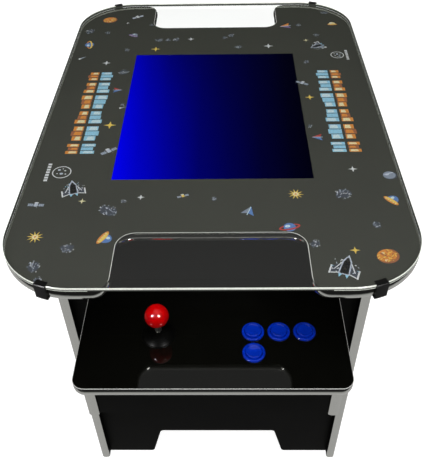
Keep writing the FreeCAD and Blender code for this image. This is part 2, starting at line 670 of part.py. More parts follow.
def power_inlet():
    """Mains inlet with its rocker switch, in the far end panel; returns still and moving solids."""
    face = END_FACE
    plate = box(INLET_X - INLET_HALF_X - 2, INLET_X + INLET_HALF_X + 2, face, face + 2.5,
                INLET_Z - INLET_HALF_Z - 2, INLET_Z + INLET_HALF_Z + 2)
    upright = [e for e in plate.Edges if e.BoundBox.YMax - e.BoundBox.YMin > 2]
    plate = plate.makeFillet(4, upright)
    case = box(INLET_X - INLET_HALF_X + 2.1, INLET_X + INLET_HALF_X - 2.1, face - 28, face + 1,
               INLET_Z - INLET_HALF_Z + 2.1, INLET_Z + INLET_HALF_Z - 2.1)
    well = box(INLET_X - 12.5, INLET_X + 12.5, face - 18, face + 3, INLET_Z - 22, INLET_Z - 4)
    well = well.makeChamfer(4, [e for e in well.Edges if e.BoundBox.ZMin > INLET_Z - 5
                                and e.BoundBox.YMax - e.BoundBox.YMin > 5])
    pocket = box(INLET_X - 10, INLET_X + 10, face - 12, face + 3, INLET_Z + 3, INLET_Z + 23)
    body = fused([plate, case]).cut(well).cut(pocket)
    pins = [box(INLET_X + dx - 1, INLET_X + dx + 1, face - 18, face - 4, INLET_Z + dz - 2.5, INLET_Z + dz + 2)
            for dx, dz in ((-7, -15.5), (0, -10.5), (7, -15.5))]
    axle_y = face - 4
    for side in (-1, 1):
        body = body.cut(rod((INLET_X + side * 8, axle_y, ROCKER_Z), (side, 0, 0), 1.5 + FIT, 5))
    half = ROCKER_HALF
    tip = face + 2.2
    profile = [(axle_y, ROCKER_Z - half), (tip, ROCKER_Z - half), (face + 0.2, ROCKER_Z),
               (tip + 2.6, ROCKER_Z + half), (axle_y, ROCKER_Z + half), (axle_y - 3, ROCKER_Z)]
    wire = Part.makePolygon([V(INLET_X - 9.6, y, z) for y, z in profile + profile[:1]])
    rocker = Part.Face(wire).extrude(V(19.2, 0, 0))
    axle = rod((INLET_X - 12.5, axle_y, ROCKER_Z), (1, 0, 0), 1.5, 25)
    return [body] + pins, rocker.fuse(axle)


LOOM_R = 3.0
LOOM_X = -20.0
PLUG_Y = -330.0             # plug block of the near loom, in the control box


def loom(points):
    """Bundle of wires: straight runs joined by tangent arcs, each as large as its runs allow."""
    points = [V(*p) for p in points]
    edges = []
    start = points[0]
    for before, here, after in zip(points, points[1:], points[2:]):
        back = before - here
        ahead = after - here
        reach = 0.45 * min(back.Length, ahead.Length)
        back.normalize()
        ahead.normalize()
        half = back.getAngle(ahead) / 2
        middle = back + ahead
        middle.normalize()
        nearest = here + middle * (reach / math.cos(half) - reach * math.tan(half))
        edges.append(Part.LineSegment(start, here + back * reach).toShape())
        edges.append(Part.Arc(here + back * reach, nearest, here + ahead * reach).toShape())
        start = here + ahead * reach
    edges.append(Part.LineSegment(start, points[-1]).toShape())
    section = Part.Wire(Part.makeCircle(LOOM_R, points[0], points[1] - points[0]))
    return Part.Wire(edges).makePipeShell([section], True, True)


def wiring():
    """Looms from the game board, through the slots, to a plug block in each control box."""
    x0, x1, y0, y1 = BOARD_SIZE
    start_z = SHELF_Z + BOARD + STANDOFF + 1.6 + 9
    slot_z = (BOX_BOTTOM_Z + PANEL_BOARD_Z) / 2
    wall = END_FACE - BOARD - 10
    floor = BOX_BOTTOM_Z + BOX_FLOOR_T
    plug = box(LOOM_X - 9, LOOM_X + 9, PLUG_Y - 7, PLUG_Y + 7, floor, floor + 12)
    tail = [(LOOM_X, -wall, slot_z - 60), (LOOM_X, -wall - 4, slot_z - 8), (LOOM_X, -END_FACE - 30, slot_z),
            (LOOM_X, PLUG_Y, slot_z), (LOOM_X, PLUG_Y, floor + 12)]
    near = [(-70, y1 - 12, start_z), (-70, y1 - 12, start_z + 24), (-50, -120, start_z + 30),
            (LOOM_X, -wall, start_z + 40)] + tail
    far = [(-110, y1 - 12, start_z), (-110, y1 - 12, start_z + 30), (-60, -5, start_z + 38),
           (-16, 60, start_z + 30), (-LOOM_X, 150, start_z + 26),
           (-LOOM_X, wall, start_z + 40)] + [(-x, -y, z) for x, y, z in tail]
    return [loom(near), loom(far), plug, turned(plug)]


def equipment():
    """Parts that stand on the shelf and in the panels."""
    save("wiring_looms", wiring())
    save("speaker", speaker())
    save("power_supply", power_supply())
    save("game_board", game_board())
    inlet, rocker = power_inlet()
    save("power_inlet", inlet)
    save("power_rocker", rocker)
    housing, nut, cam = lock()
    save("lock_housing", [housing, nut])
    save("lock_cam", cam)


# ---- control panels -------------------------------------------------------------------------
def panel_outline(inset):
    """Corners of the near control panel, moved inwards by inset at its three free sides."""
    half = PANEL_HALF - inset
    front = inset - PANEL_FRONT
    corner = PANEL_CORNER_R - inset
    return [(half, -END_FACE, 0), (-half, -END_FACE, 0), (-half, front, corner), (half, front, corner)]


def panel_holes():
    """Cutters for the buttons and the stick."""
    holes = [rod((x, y, PANEL_BOARD_Z - 1), UP, BUTTON_HOLE_R, 40) for x, y in BUTTON_SPOTS]
    holes.append(rod((STICK_X, STICK_Y, PANEL_BOARD_Z - 1), UP, 12.0, 40))
    return holes


def bevelled_overlay():
    """Acrylic sheet on the control panel, bevelled along its three free sides."""
    sheet = slab(panel_outline(0), PANEL_Z - OVERLAY_T, PANEL_Z)
    top = [e for e in sheet.Edges if e.BoundBox.ZMin > PANEL_Z - 0.1 and e.BoundBox.YMin < -END_FACE - 0.1]
    return sheet.makeChamfer(OVERLAY_BEVEL, top)


def control_box():
    """Boards and strips of the near control box, as named lists of solids."""
    inner = BOX_HALF - BOARD
    mid = BOX_HALF - BOARD / 2
    face = -BOX_FRONT
    sides = []
    for side in (-1, 1):
        x0, x1 = sorted((side * BOX_HALF, side * inner))
        board = box(x0, x1, face + TRIM + FIT, -END_FACE, BOX_BOTTOM_Z, PANEL_BOARD_Z)
        sides.append(board.cut(edge_groove(side * mid, face, BOX_BOTTOM_Z, PANEL_BOARD_Z)))
    strips = [edge_strip(side * mid, face, BOX_BOTTOM_Z + 0.5, PANEL_BOARD_Z - 0.5) for side in (-1, 1)]
    front = box(-inner, inner, face + 5, face + 5 + BOARD, BOX_BOTTOM_Z, PANEL_BOARD_Z)
    floor = box(-inner, inner, face + 5 + BOARD, -END_FACE, BOX_BOTTOM_Z, BOX_BOTTOM_Z + BOX_FLOOR_T)
    return sides, strips, front, floor


BEZEL_R = 16.65
BARREL_R = 13.9
BORE_R = 12.4
PLUNGER_R = 12.1
BARREL_DEPTH = 27.0
STEM_R = 3.4
SWITCH_GAP = 0.5            # between the pressed stem and the switch


def button_bezel(x, y):
    """Rim, threaded barrel and switch lugs of a push button."""
    rim = arc_points(1.6, 90, 0, 5)
    outer = [(BEZEL_R - 1.6 + r, 1.4 + z) for r, z in rim]
    profile = [(BARREL_R, 0), (BEZEL_R, 0)] + outer + [(13.6, 3.0), (12.7, 2.4), (BORE_R, 1.6)]
    profile += [(BORE_R, 3 - BARREL_DEPTH), (STEM_R + 0.6, 3 - BARREL_DEPTH), (STEM_R + 0.6, -BARREL_DEPTH),
                (BARREL_R, -BARREL_DEPTH)]
    pieces = [spun(profile, x, y, PANEL_Z)]
    for side in (-1, 1):
        x0, x1 = sorted((x + side * 10.2, x + side * 12.4))
        pieces.append(box(x0, x1, y - 5, y + 5, PANEL_Z - BARREL_DEPTH - 14, PANEL_Z - BARREL_DEPTH + 1))
    return fused(pieces)


def button_plunger(x, y):
    """Pressed part: dished cap, skirt and stem."""
    dish = [(9.4 * i / 5, 4.1 + 1.1 * (i / 5) ** 2) for i in range(6)]
    profile = dish + [(10.4, 5.6), (11.3, 5.3), (PLUNGER_R, 4.3), (PLUNGER_R, -12), (STEM_R, -12),
                      (STEM_R, -BARREL_DEPTH - 2), (0, -BARREL_DEPTH - 2)]
    return spun(profile, x, y, PANEL_Z)


def button_nut(x, y):
    """Round plastic nut with grip flats under the board."""
    z0 = PANEL_BOARD_Z - 6
    corners = [(x + 18.5 * math.cos(math.radians(a)), y + 18.5 * math.sin(math.radians(a)), 2.0)
               for a in range(0, 360, 45)]
    return slab(corners, z0, PANEL_BOARD_Z).cut(rod((x, y, z0 - 1), UP, BARREL_R + FIT, 10))


def button_switch(x, y):
    """Microswitch between the lugs, with its three blades."""
    top = PANEL_Z - BARREL_DEPTH - 2 - BUTTON_TRAVEL - SWITCH_GAP
    case = box(x - 10.1, x + 10.1, y - 5, y + 5, top - 11, top)
    blades = [box(x + dx - 0.4, x + dx + 0.4, y - 3, y + 3, top - 17, top - 10) for dx in (-8, 0, 8)]
    return fused([case] + blades)


def button_spring(x, y):
    """Return spring at its pressed length."""
    low = PANEL_Z - BARREL_DEPTH + 3 + 0.6
    return coil(x, y, low, PANEL_Z - 12 - BUTTON_TRAVEL - 0.7, 6.5, 0.5, 3)


PIVOT_Z = PANEL_Z - STICK_DROP
RING_OUTER = 17.0
RING_INNER = 10.5
RING_HALF = 3.5
STICK_PIN_R = 2.0
PLATE_T = 1.6
HOUSING_R = 29.0
HOUSING_INNER = 25.0
HOUSING_FLOOR_Z = PIVOT_Z - 25.0
DOME_R = 38.2               # outside of the still dust cover, about the pivot
DOME_T = 1.8
DOME_HOLE = 17.9            # half angle of its opening
CAP_GAP = 0.4
CAP_T = 1.4
CAP_NECK = 2.0              # height of the collar round the shaft, from the inside of the cap
CAP_EDGE = 27.8             # half angle of the turning cap
TAIL_R = 4.0
ACTUATOR_R = 9.0
SWITCH_REACH = 15.8         # inner face of the stick switches from the stick axis


def stick_solids():
    """Shaft with its pivot hub and cross pin, the dust cap and the switch actuator."""
    z = PIVOT_Z
    shoulder = PANEL_Z + STICK_BALL_RISE - 16
    shaft = rod((0, 0, z), UP, STICK_R, shoulder - z)
    stud = rod((0, 0, shoulder - 1), UP, 3.0, 14)
    hub = Part.makeSphere(8.0, V(0, 0, z))
    pin = rod((0, -RING_OUTER + 1, z), (0, 1, 0), STICK_PIN_R, 2 * RING_OUTER - 2)
    tail = rod((0, 0, z - 39), UP, TAIL_R, 39)
    actuator = tube(0, 0, z - 40, z - 28, ACTUATOR_R, TAIL_R + FIT)
    inner = DOME_R + CAP_GAP
    bore = STICK_R + FIT
    bore_angle = math.degrees(math.asin(bore / inner))
    outline = arc_points(inner, bore_angle, CAP_EDGE, 8, z) + arc_points(inner + CAP_T, CAP_EDGE, 10, 6, z)
    outline += [(STICK_R + 1.6, z + inner + CAP_NECK), (bore, z + inner + CAP_NECK)]
    return [fused([shaft, stud, hub, pin, tail]), spun(outline), actuator]


def stick_ball():
    """Ball knob with the blind hole for the shaft's stud."""
    centre = PANEL_Z + STICK_BALL_RISE
    ball = Part.makeSphere(STICK_BALL_R, V(0, 0, centre))
    ball = ball.cut(box(-20, 20, -20, 20, centre - 20, centre - 16))
    return ball.cut(rod((0, 0, centre - 17), UP, 3.0 + FIT, 15))


def pivot_ring():
    """Gimbal ring: turns in the housing on two stub pins and carries the stick's cross pin."""
    ring = tube(0, 0, PIVOT_Z - RING_HALF, PIVOT_Z + RING_HALF, RING_OUTER, RING_INNER)
    for side in (-1, 1):
        stub = rod((side * (RING_OUTER - 1), 0, PIVOT_Z), (side, 0, 0), STICK_PIN_R, 12)
        ring = ring.fuse(stub)
        ring = ring.cut(rod((0, side * 8, PIVOT_Z), (0, side, 0), STICK_PIN_R + FIT, 12))
    return ring


def stick_housing():
    """Cup that holds the gimbal ring, with a square lower plate for the switches."""
    top = PANEL_BOARD_Z - PLATE_T
    cup = tube(0, 0, HOUSING_FLOOR_Z, top, HOUSING_R, HOUSING_INNER)
    floor = slab(rectangle(HOUSING_R, HOUSING_R, 5), HOUSING_FLOOR_Z - 1, HOUSING_FLOOR_Z + 4)
    floor = floor.cut(rod((0, 0, 0), UP, 8.8, TOP_Z))
    housing = fused([cup, floor])
    return housing.cut(rod((-40, 0, PIVOT_Z), (1, 0, 0), STICK_PIN_R + FIT, 80))


def stick_plate():
    """Steel mounting plate under the control panel board."""
    z1 = PANEL_BOARD_Z
    plate = slab(rectangle(45, 33, 6), z1 - PLATE_T, z1)
    plate = plate.cut(rod((0, 0, 0), UP, 14, TOP_Z))
    for x, y in stick_screw_offsets():
        plate = plate.cut(rod((x, y, 0), UP, 2.2, TOP_Z))
    return plate


def stick_screw_offsets():
    """Screw places on the mounting plate, from the stick axis."""
    return [(sx * 38, sy * 26) for sx in (-1, 1) for sy in (-1, 1)]


def stick_switches():
    """Four microswitches round the actuator."""
    z1 = HOUSING_FLOOR_Z - 1
    case = box(SWITCH_REACH, SWITCH_REACH + 10, -10, 10, z1 - 15, z1)
    blades = [box(SWITCH_REACH + 10, SWITCH_REACH + 16, y - 2.4, y + 2.4, z1 - 8, z1 - 7.2) for y in (-6, 6)]
    one = fused([case] + blades)
    switches = []
    for quarter in range(4):
        copy = one.copy()
        copy.rotate(ORIGIN, UP, 90 * quarter)
        switches.append(copy)
    return switches


def dust_cover():
    """Still domed cover on the panel; the stick's cap turns over it."""
    z = PIVOT_Z
    rim_height = PANEL_Z + 1.0
    foot_angle = math.degrees(math.acos((rim_height - z) / DOME_R))
    inner_foot = math.degrees(math.acos(STICK_DROP / (DOME_R - DOME_T)))
    profile = arc_points(DOME_R, DOME_HOLE, foot_angle, 10, z)
    profile += [(25.1, rim_height), (25.5, rim_height - 0.4), (25.5, PANEL_Z)]
    profile += arc_points(DOME_R - DOME_T, inner_foot, DOME_HOLE, 10, z)
    return spun(profile)


def stick_spring():
    """Centring spring between the housing floor and the gimbal."""
    low = HOUSING_FLOOR_Z + 4
    return coil(0, 0, low + 0.7, PIVOT_Z - RING_HALF - 4.2, 10.5, 0.6, 3)


def at_stick(shape):
    """Copy of a piece made about the Z axis, moved to the near stick."""
    copy = shape.copy()
    copy.translate(V(STICK_X, STICK_Y, 0))
    return copy


def controls():
    """Both control panels with their sticks, buttons and boxes."""
    sides, strips, front, floor = control_box()
    save("box_sides", both_ends(sides))
    save("box_trims", both_ends(strips))
    save("box_fronts", both_ends([front]))
    save("box_floors", both_ends([floor]))
    board = grooved_board(panel_outline, PANEL_BOARD_Z)
    overlay = bevelled_overlay()
    for hole in panel_holes():
        board = board.cut(hole)
        overlay = overlay.cut(hole)
    fixings = []
    for dx, dy in stick_screw_offsets():
        spot = (STICK_X + dx, STICK_Y + dy, PANEL_BOARD_Z - PLATE_T)
        fixings.append(screw(spot, (0, 0, 1), 1.7, 11.0))
        board = board.cut(pilot(spot, (0, 0, 1), 1.7, 11.0))
    trim = trim_ring(panel_outline, PANEL_BOARD_Z)
    ends = (("near", lambda shape: shape), ("far", turned))
    plungers = [button_plunger(x, y) for x, y in BUTTON_SPOTS]
    bezels = [button_bezel(x, y) for x, y in BUTTON_SPOTS]
    for name, place in ends:
        save("panel_board_" + name, place(board))
        save("panel_overlay_" + name, place(overlay))
        save("button_bezels_" + name, [place(bezel) for bezel in bezels])
        save("pivot_ring_" + name, place(at_stick(pivot_ring())))
        save("stick_" + name, [place(at_stick(piece)) for piece in stick_solids()])
        save("stick_ball_" + name, place(at_stick(stick_ball())))
        for i, plunger in enumerate(plungers, 1):
            save("button_" + name + "_" + str(i), place(plunger))
    save("panel_trims", both_ends([trim]))
    save("button_nuts", both_ends([button_nut(x, y) for x, y in BUTTON_SPOTS]))
    save("button_switches", both_ends([button_switch(x, y) for x, y in BUTTON_SPOTS]))
    save("stick_plates", both_ends([at_stick(stick_plate())]))
    save("stick_housings", both_ends([at_stick(stick_housing())]))
    save("stick_switches", both_ends([at_stick(s) for s in stick_switches()]))
    save("dust_covers", both_ends([at_stick(dust_cover())]))
    springs = [button_spring(x, y) for x, y in BUTTON_SPOTS] + [at_stick(stick_spring())]
    save("return_springs", both_ends(springs))
    leaf_screws = [screw(spot, (1, 0, 0)) for y in (-HINGE_Y, HINGE_Y) for spot in hinge_screws(y)[0]]
    save("body_screws", both_ends(fixings) + leaf_screws)


os.makedirs("parts", exist_ok=True)
table_top()
cabinet_body()
equipment()
controls()
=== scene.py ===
"""Looks for the cocktail arcade table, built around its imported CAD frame.

Units are metres in the part's own frame: X to the seated player's right, Y away from player one, Z up.
"""
import json
import math
import random

import bmesh
import bpy
from mathutils import Matrix, Vector


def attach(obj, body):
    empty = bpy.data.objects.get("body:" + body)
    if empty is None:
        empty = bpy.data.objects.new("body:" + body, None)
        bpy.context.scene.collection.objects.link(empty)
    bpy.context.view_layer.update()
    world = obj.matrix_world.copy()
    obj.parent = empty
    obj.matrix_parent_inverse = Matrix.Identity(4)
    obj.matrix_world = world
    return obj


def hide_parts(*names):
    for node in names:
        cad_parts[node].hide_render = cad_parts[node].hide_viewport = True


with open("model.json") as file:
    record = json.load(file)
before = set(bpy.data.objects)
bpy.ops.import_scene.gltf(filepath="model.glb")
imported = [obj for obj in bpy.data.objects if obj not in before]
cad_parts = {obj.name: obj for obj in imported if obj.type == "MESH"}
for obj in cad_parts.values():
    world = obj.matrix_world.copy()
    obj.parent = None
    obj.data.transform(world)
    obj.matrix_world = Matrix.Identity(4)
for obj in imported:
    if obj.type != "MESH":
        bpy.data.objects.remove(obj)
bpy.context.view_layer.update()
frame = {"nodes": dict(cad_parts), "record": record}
NODES = frame["nodes"]
MM = 0.001

# Places on the model, in metres.
WINDOW_HALF_X = 0.1515      # half size of the screen window in the print
WINDOW_HALF_Y = 0.1935
NOTCH_REACH = 0.152         # half width of a table notch, its outer corners included
TRIM_SHADE = 0.7216         # the table moulding is painted near black, as shade, above this height
EDGE_BRIGHT = 0.7272        # the outside of the glass edge glows with painted light above this height
EDGE_BRIGHT_INSIDE = 0.7275     # the same, seen from within the glass
EDGE_BRIGHT_ASIDE = 0.0008      # how much higher that limit is on edges that face sideways
EDGE_ARRIS = 0.7258         # the lower arris of the glass edge glows with painted light below this height
EDGE_ARRIS_INSIDE = 0.7     # below the glass, so the arris has no painted glow from within
STICK_X = -0.080            # axis of the near stick; the far one is turned half a turn
STICK_Y = -0.357
STICK_BALL = (STICK_X, STICK_Y, 0.605)
SHAFT_REACH = 0.0049        # just outside the stick's shaft
CAP_LOW = 0.5595            # the turning dust cap is above this height
TALL_PARTS = 0.1249         # parts on the circuit board reach above this height
FILM_TOP = 0.7236           # upper face of the printed film, lowered for the ink
INK_LIFT = 0.00005          # height step between layers of ink

# Light: how bright the table sees the floor beside it and further out, and where one turns into the other.
GLOW_NEAR = 0.45
GLOW_FAR = 0.012
GLOW_NEAR_REACH = 0.85
GLOW_FAR_REACH = 1.35
GLOW_WIDEN = 0.55           # the bright pool is longer sideways by the inverse of this
LAMP_SIZE = 0.34            # of the two lamps that make the highlights on the ball
LAMP_RADIANCE = 640.0


# ---------------------------------------------------------------- materials

class Paint:
    """One node material under construction."""

    def __init__(self, name):
        self.material = bpy.data.materials.new(name)
        self.material.use_nodes = True
        self.tree = self.material.node_tree
        self.tree.nodes.clear()
        self.output = self.tree.nodes.new("ShaderNodeOutputMaterial")
        self.where = self.add("TexCoord").outputs["Object"]
        self.facing = self.where.node.outputs["Normal"]

    def add(self, kind, inputs=None, **settings):
        """New node; inputs maps a socket name or index to a value or to another node's socket."""
        node = self.tree.nodes.new("ShaderNode" + kind)
        for key, value in settings.items():
            setattr(node, key, value)
        for key, value in (inputs or {}).items():
            if isinstance(value, bpy.types.NodeSocket):
                self.tree.links.new(value, node.inputs[key])
            else:
                node.inputs[key].default_value = value
        return node

    def noise(self, scale, detail=2.0, rough=0.5, stretch=None):
        """Noise of that many features per metre; stretch scales each axis."""
        where = self.where
        if stretch:
            where = self.add("Mapping", {"Vector": where, "Scale": stretch}).outputs[0]
        return self.add("TexNoise", {"Vector": where, "Scale": scale, "Detail": detail,
                                     "Roughness": rough}).outputs[0]

    def math(self, operation, a, b=0.0):
        return self.add("Math", {0: a, 1: b}, operation=operation).outputs[0]

    def spread(self, value, low, high, start=0.3, end=0.7):
        """Maps a 0 to 1 pattern to the range low to high."""
        return self.add("MapRange", {"Value": value, "From Min": start, "From Max": end,
                                     "To Min": low, "To Max": high}).outputs[0]

    def colours(self, value, stops):
        """Colour ramp through (position, (r, g, b)) stops."""
        node = self.add("ValToRGB", {0: value})
        ramp = node.color_ramp
        while len(ramp.elements) < len(stops):
            ramp.elements.new(0.5)
        for element, (place, colour) in zip(ramp.elements, stops):
            element.position = place
            element.color = (*colour, 1.0)
        return node.outputs[0]

    def mix(self, factor, a, b):
        """Colour mix of a and b."""
        node = self.add("Mix", data_type="RGBA")
        for socket, value in zip((node.inputs[0], node.inputs[6], node.inputs[7]), (factor, a, b)):
            if isinstance(value, bpy.types.NodeSocket):
                self.tree.links.new(value, socket)
            else:
                socket.default_value = value if isinstance(value, float) else (*value, 1.0)
        return node.outputs[2]

    def bump(self, height, distance, strength=1.0):
        return self.add("Bump", {"Height": height, "Distance": distance, "Strength": strength}).outputs[0]

    def principled(self, inputs):
        return self.add("BsdfPrincipled", inputs).outputs[0]

    def done(self, shader):
        self.tree.links.new(shader, self.output.inputs["Surface"])
        return self.material


def shade(colour, factor):
    return tuple(min(1.0, c * factor) for c in colour)


def plastic(name, colour, rough, grain, grain_scale, specular):
    """Moulded plastic: cloudy colour and roughness with a fine surface grain, its depth in metres."""
    p = Paint(name)
    clouds = p.noise(60.0, 4.0, 0.6)
    fine = p.noise(grain_scale, 3.0, 0.6)
    tone = p.math("MULTIPLY", p.math("ADD", clouds, fine), 0.5)
    return p.done(p.principled({
        "Base Color": p.colours(tone, [(0.32, shade(colour, 0.85)), (0.5, colour), (0.68, shade(colour, 1.15))]),
        "Roughness": p.spread(clouds, rough - 0.06, rough + 0.06), "Specular IOR Level": specular,
        "Normal": p.bump(fine, grain)}))


def glossy(name, colour, rough, coat):
    """Polished moulded plastic, faintly clouded."""
    p = Paint(name)
    clouds = p.noise(60.0, 4.0, 0.6)
    fine = p.noise(700.0, 3.0, 0.6)
    return p.done(p.principled({
        "Base Color": p.colours(clouds, [(0.3, shade(colour, 0.92)), (0.7, shade(colour, 1.06))]),
        "Roughness": p.spread(clouds, rough - 0.02, rough + 0.02), "Specular IOR Level": 0.3,
        "Coat Weight": coat, "Coat Roughness": 0.05, "Normal": p.bump(fine, 0.000001)}))


def laminate(name, colour, rough, specular):
    """Black vinyl-faced board: leathery pebble, faint dust flecks."""
    p = Paint(name)
    pebble = p.add("TexVoronoi", {"Vector": p.where, "Scale": 900.0}, feature="SMOOTH_F1").outputs[0]
    fine = p.noise(2600.0, 2.0)
    clouds = p.noise(9.0, 4.0, 0.6)
    flecks = p.spread(p.noise(1500.0, 1.0), 0.0, 0.5, 0.70, 0.78)
    base = p.colours(clouds, [(0.3, shade(colour, 0.85)), (0.7, shade(colour, 1.2))])
    return p.done(p.principled({
        "Base Color": p.mix(flecks, base, shade(colour, 2.2)),
        "Roughness": p.spread(clouds, rough - 0.06, rough + 0.08),
        "Specular IOR Level": specular,
        "Normal": p.bump(p.math("ADD", pebble, fine), 0.00006, 0.6)}))


def wood(name):
    """Sawn softwood: growth rings along Z and Y with pores."""
    p = Paint(name)
    bend = p.noise(14.0, 3.0)
    along = p.add("Mapping", {"Vector": p.where, "Scale": (1.0, 0.06, 0.06)}).outputs[0]
    rings = p.add("TexNoise", {"Vector": along, "Scale": 260.0, "Detail": 5.0, "Distortion": 0.6}).outputs[0]
    tone = p.math("ADD", p.math("MULTIPLY", rings, 0.8), p.math("MULTIPLY", bend, 0.2))
    return p.done(p.principled({
        "Base Color": p.colours(tone, [(0.35, (0.36, 0.22, 0.11)), (0.5, (0.58, 0.41, 0.24)),
                                       (0.66, (0.70, 0.54, 0.34))]),
        "Roughness": p.spread(rings, 0.55, 0.8), "Specular IOR Level": 0.3,
        "Normal": p.bump(rings, 0.0002, 0.7)}))


def metal(name, colour, rough, brushed):
    """Metal with fine streaks in its colour and roughness."""
    p = Paint(name)
    streaks = p.noise(1400.0, 3.0, 0.6, (1.0, 1.0, 0.04))
    clouds = p.noise(25.0, 3.0)
    tone = p.math("MULTIPLY", p.math("ADD", streaks, clouds), 0.5)
    return p.done(p.principled({
        "Base Color": p.colours(tone, [(0.35, shade(colour, 0.85)), (0.65, shade(colour, 1.1))]),
        "Metallic": 1.0, "Roughness": p.spread(tone, rough - brushed, rough + brushed),
        "Normal": p.bump(streaks, 0.00002, 0.5)}))


def acrylic(name):
    """Polished black acrylic sheet with faint wiping marks; the bevel round it is pale and self-lit, a painted
    highlight.
    """
    p = Paint(name)
    wipes = p.noise(30.0, 4.0, 0.7, (1.0, 3.0, 1.0))
    face = p.principled({
        "Base Color": p.colours(wipes, [(0.3, (0.0026, 0.0026, 0.0019)), (0.7, (0.0036, 0.0036, 0.0027))]),
        "Roughness": p.spread(wipes, 0.015, 0.05), "Specular IOR Level": 0.42})
    saw = p.noise(900.0, 2.0, 0.5, (1.0, 1.0, 0.1))
    # Painted highlight: the sloping bevel is pale grey and glows by its own emission.
    painted_bevel_glow = p.principled({
        "Base Color": p.colours(saw, [(0.3, (0.36, 0.36, 0.35)), (0.7, (0.52, 0.52, 0.50))]),
        "Roughness": p.spread(saw, 0.15, 0.3),
        "Emission Color": p.colours(saw, [(0.3, (0.5, 0.5, 0.48)), (0.7, (0.7, 0.7, 0.67))]),
        "Emission Strength": 0.35})
    slope = p.math("ABSOLUTE", p.add("SeparateXYZ", {0: p.facing}).outputs[2])
    sloping = p.math("MULTIPLY", p.math("GREATER_THAN", slope, 0.3), p.math("LESS_THAN", slope, 0.95))
    return p.done(p.add("MixShader", {0: sloping, 1: face, 2: painted_bevel_glow}).outputs[0])


def glass(name):
    """Clear float glass whose edges glow with painted light, with a painted dark band along them and a painted
    bright lower arris.

    Its mirror lies on the lower face, above the print only, so the picture keeps its full depth.
    """
    p = Paint(name)
    x, y, z = p.add("SeparateXYZ", {0: p.where}).outputs
    up = p.add("SeparateXYZ", {0: p.facing}).outputs[2]
    level = p.math("ABSOLUTE", up)
    beside = p.math("GREATER_THAN", p.math("ABSOLUTE", x), WINDOW_HALF_X)
    beyond = p.math("GREATER_THAN", p.math("ABSOLUTE", y), WINDOW_HALF_Y)
    outside = p.math("MAXIMUM", beside, beyond)
    inside = p.add("NewGeometry").outputs["Backfacing"]
    lower = p.math("MULTIPLY", inside, p.math("GREATER_THAN", up, 0.9))
    mirror = p.math("MULTIPLY", p.add("Fresnel", {"IOR": 0.54}).outputs[0], p.math("MULTIPLY", lower, outside))
    smears = p.noise(16.0, 5.0, 0.65)
    reflection = p.add("BsdfGlossy", {"Color": (1.0, 1.0, 0.98, 1.0),
                                      "Roughness": p.spread(smears, 0.01, 0.035)}).outputs[0]
    clear = p.add("BsdfTransparent", {"Color": (0.985, 0.992, 0.985, 1.0)}).outputs[0]
    face = p.add("MixShader", {0: mirror, 1: clear, 2: reflection}).outputs[0]
    ripple = p.noise(500.0, 2.0, 0.5, (1.0, 1.0, 0.2))
    aside = p.math("ABSOLUTE", p.add("SeparateXYZ", {0: p.facing}).outputs[0])
    # Painted light on the glass edges: pale and self-lit above one height, a painted dark band below it, and a
    # self-lit lower arris except across the notches.
    low = p.math("LESS_THAN", z, p.math("ADD", p.spread(inside, EDGE_BRIGHT, EDGE_BRIGHT_INSIDE, 0.0, 1.0),
                                        p.math("MULTIPLY", aside, EDGE_BRIGHT_ASIDE)))
    arris = p.math("MULTIPLY", p.math("LESS_THAN", z, p.spread(inside, EDGE_ARRIS, EDGE_ARRIS_INSIDE, 0.0, 1.0)),
                   p.math("GREATER_THAN", p.math("ABSOLUTE", x), NOTCH_REACH))
    painted_dark_band = p.math("SUBTRACT", low, arris)
    glow = p.colours(ripple, [(0.3, (0.56, 0.58, 0.53)), (0.7, (0.66, 0.68, 0.62))])
    tint = p.mix(painted_dark_band, glow, (0.03, 0.032, 0.028))
    edge = p.principled({"Base Color": tint, "Roughness": p.spread(ripple, 0.12, 0.25),
                         "Specular IOR Level": 0.2, "Emission Color": tint, "Emission Strength": 0.62})
    return p.done(p.add("MixShader", {0: p.math("GREATER_THAN", level, 0.9), 1: edge, 2: face}).outputs[0])


def moulding(name, lipped=False):
    """Chrome-look T-moulding; the lipped one round the table has painted shade on its upper part under the glass and
    a pale painted glow at the notches.
    """
    p = Paint(name)
    clouds = p.noise(30.0, 4.0, 0.6)
    fine = p.noise(900.0, 3.0, 0.6)
    tone = p.math("MULTIPLY", p.math("ADD", clouds, fine), 0.5)
    shine = p.principled({
        "Base Color": p.colours(tone, [(0.35, (0.66, 0.66, 0.62)), (0.65, (0.70, 0.70, 0.66))]),
        "Metallic": 1.0, "Roughness": p.spread(clouds, 0.10, 0.14), "Normal": p.bump(fine, 0.000002)})
    if not lipped:
        return p.done(shine)
    # Painted glow: a pale, self-lit upper face at the notches.
    pale = p.colours(tone, [(0.35, (0.55, 0.55, 0.53)), (0.65, (0.66, 0.66, 0.63))])
    painted_notch_glow = p.principled({"Base Color": pale, "Roughness": p.spread(fine, 0.3, 0.45),
                         "Emission Color": pale, "Emission Strength": 0.35})
    # Painted shade: near-black upper face and upper edge under the glass, away from the notches.
    painted_shade = p.principled({
        "Base Color": p.colours(tone, [(0.35, (0.030, 0.031, 0.025)), (0.65, (0.034, 0.035, 0.028))]),
        "Roughness": p.spread(fine, 0.7, 0.8), "Specular IOR Level": 0.05})
    x, _, z = p.add("SeparateXYZ", {0: p.where}).outputs
    flat = p.math("GREATER_THAN", p.add("SeparateXYZ", {0: p.facing}).outputs[2], 0.55)
    notch = p.math("LESS_THAN", p.math("ABSOLUTE", x), NOTCH_REACH)
    top = p.add("MixShader", {0: notch, 1: painted_shade, 2: painted_notch_glow}).outputs[0]
    rim = p.math("MULTIPLY", p.math("GREATER_THAN", z, TRIM_SHADE), p.math("SUBTRACT", 1.0, notch))
    side = p.add("MixShader", {0: rim, 1: shine, 2: painted_shade}).outputs[0]
    return p.done(p.add("MixShader", {0: flat, 1: side, 2: top}).outputs[0])


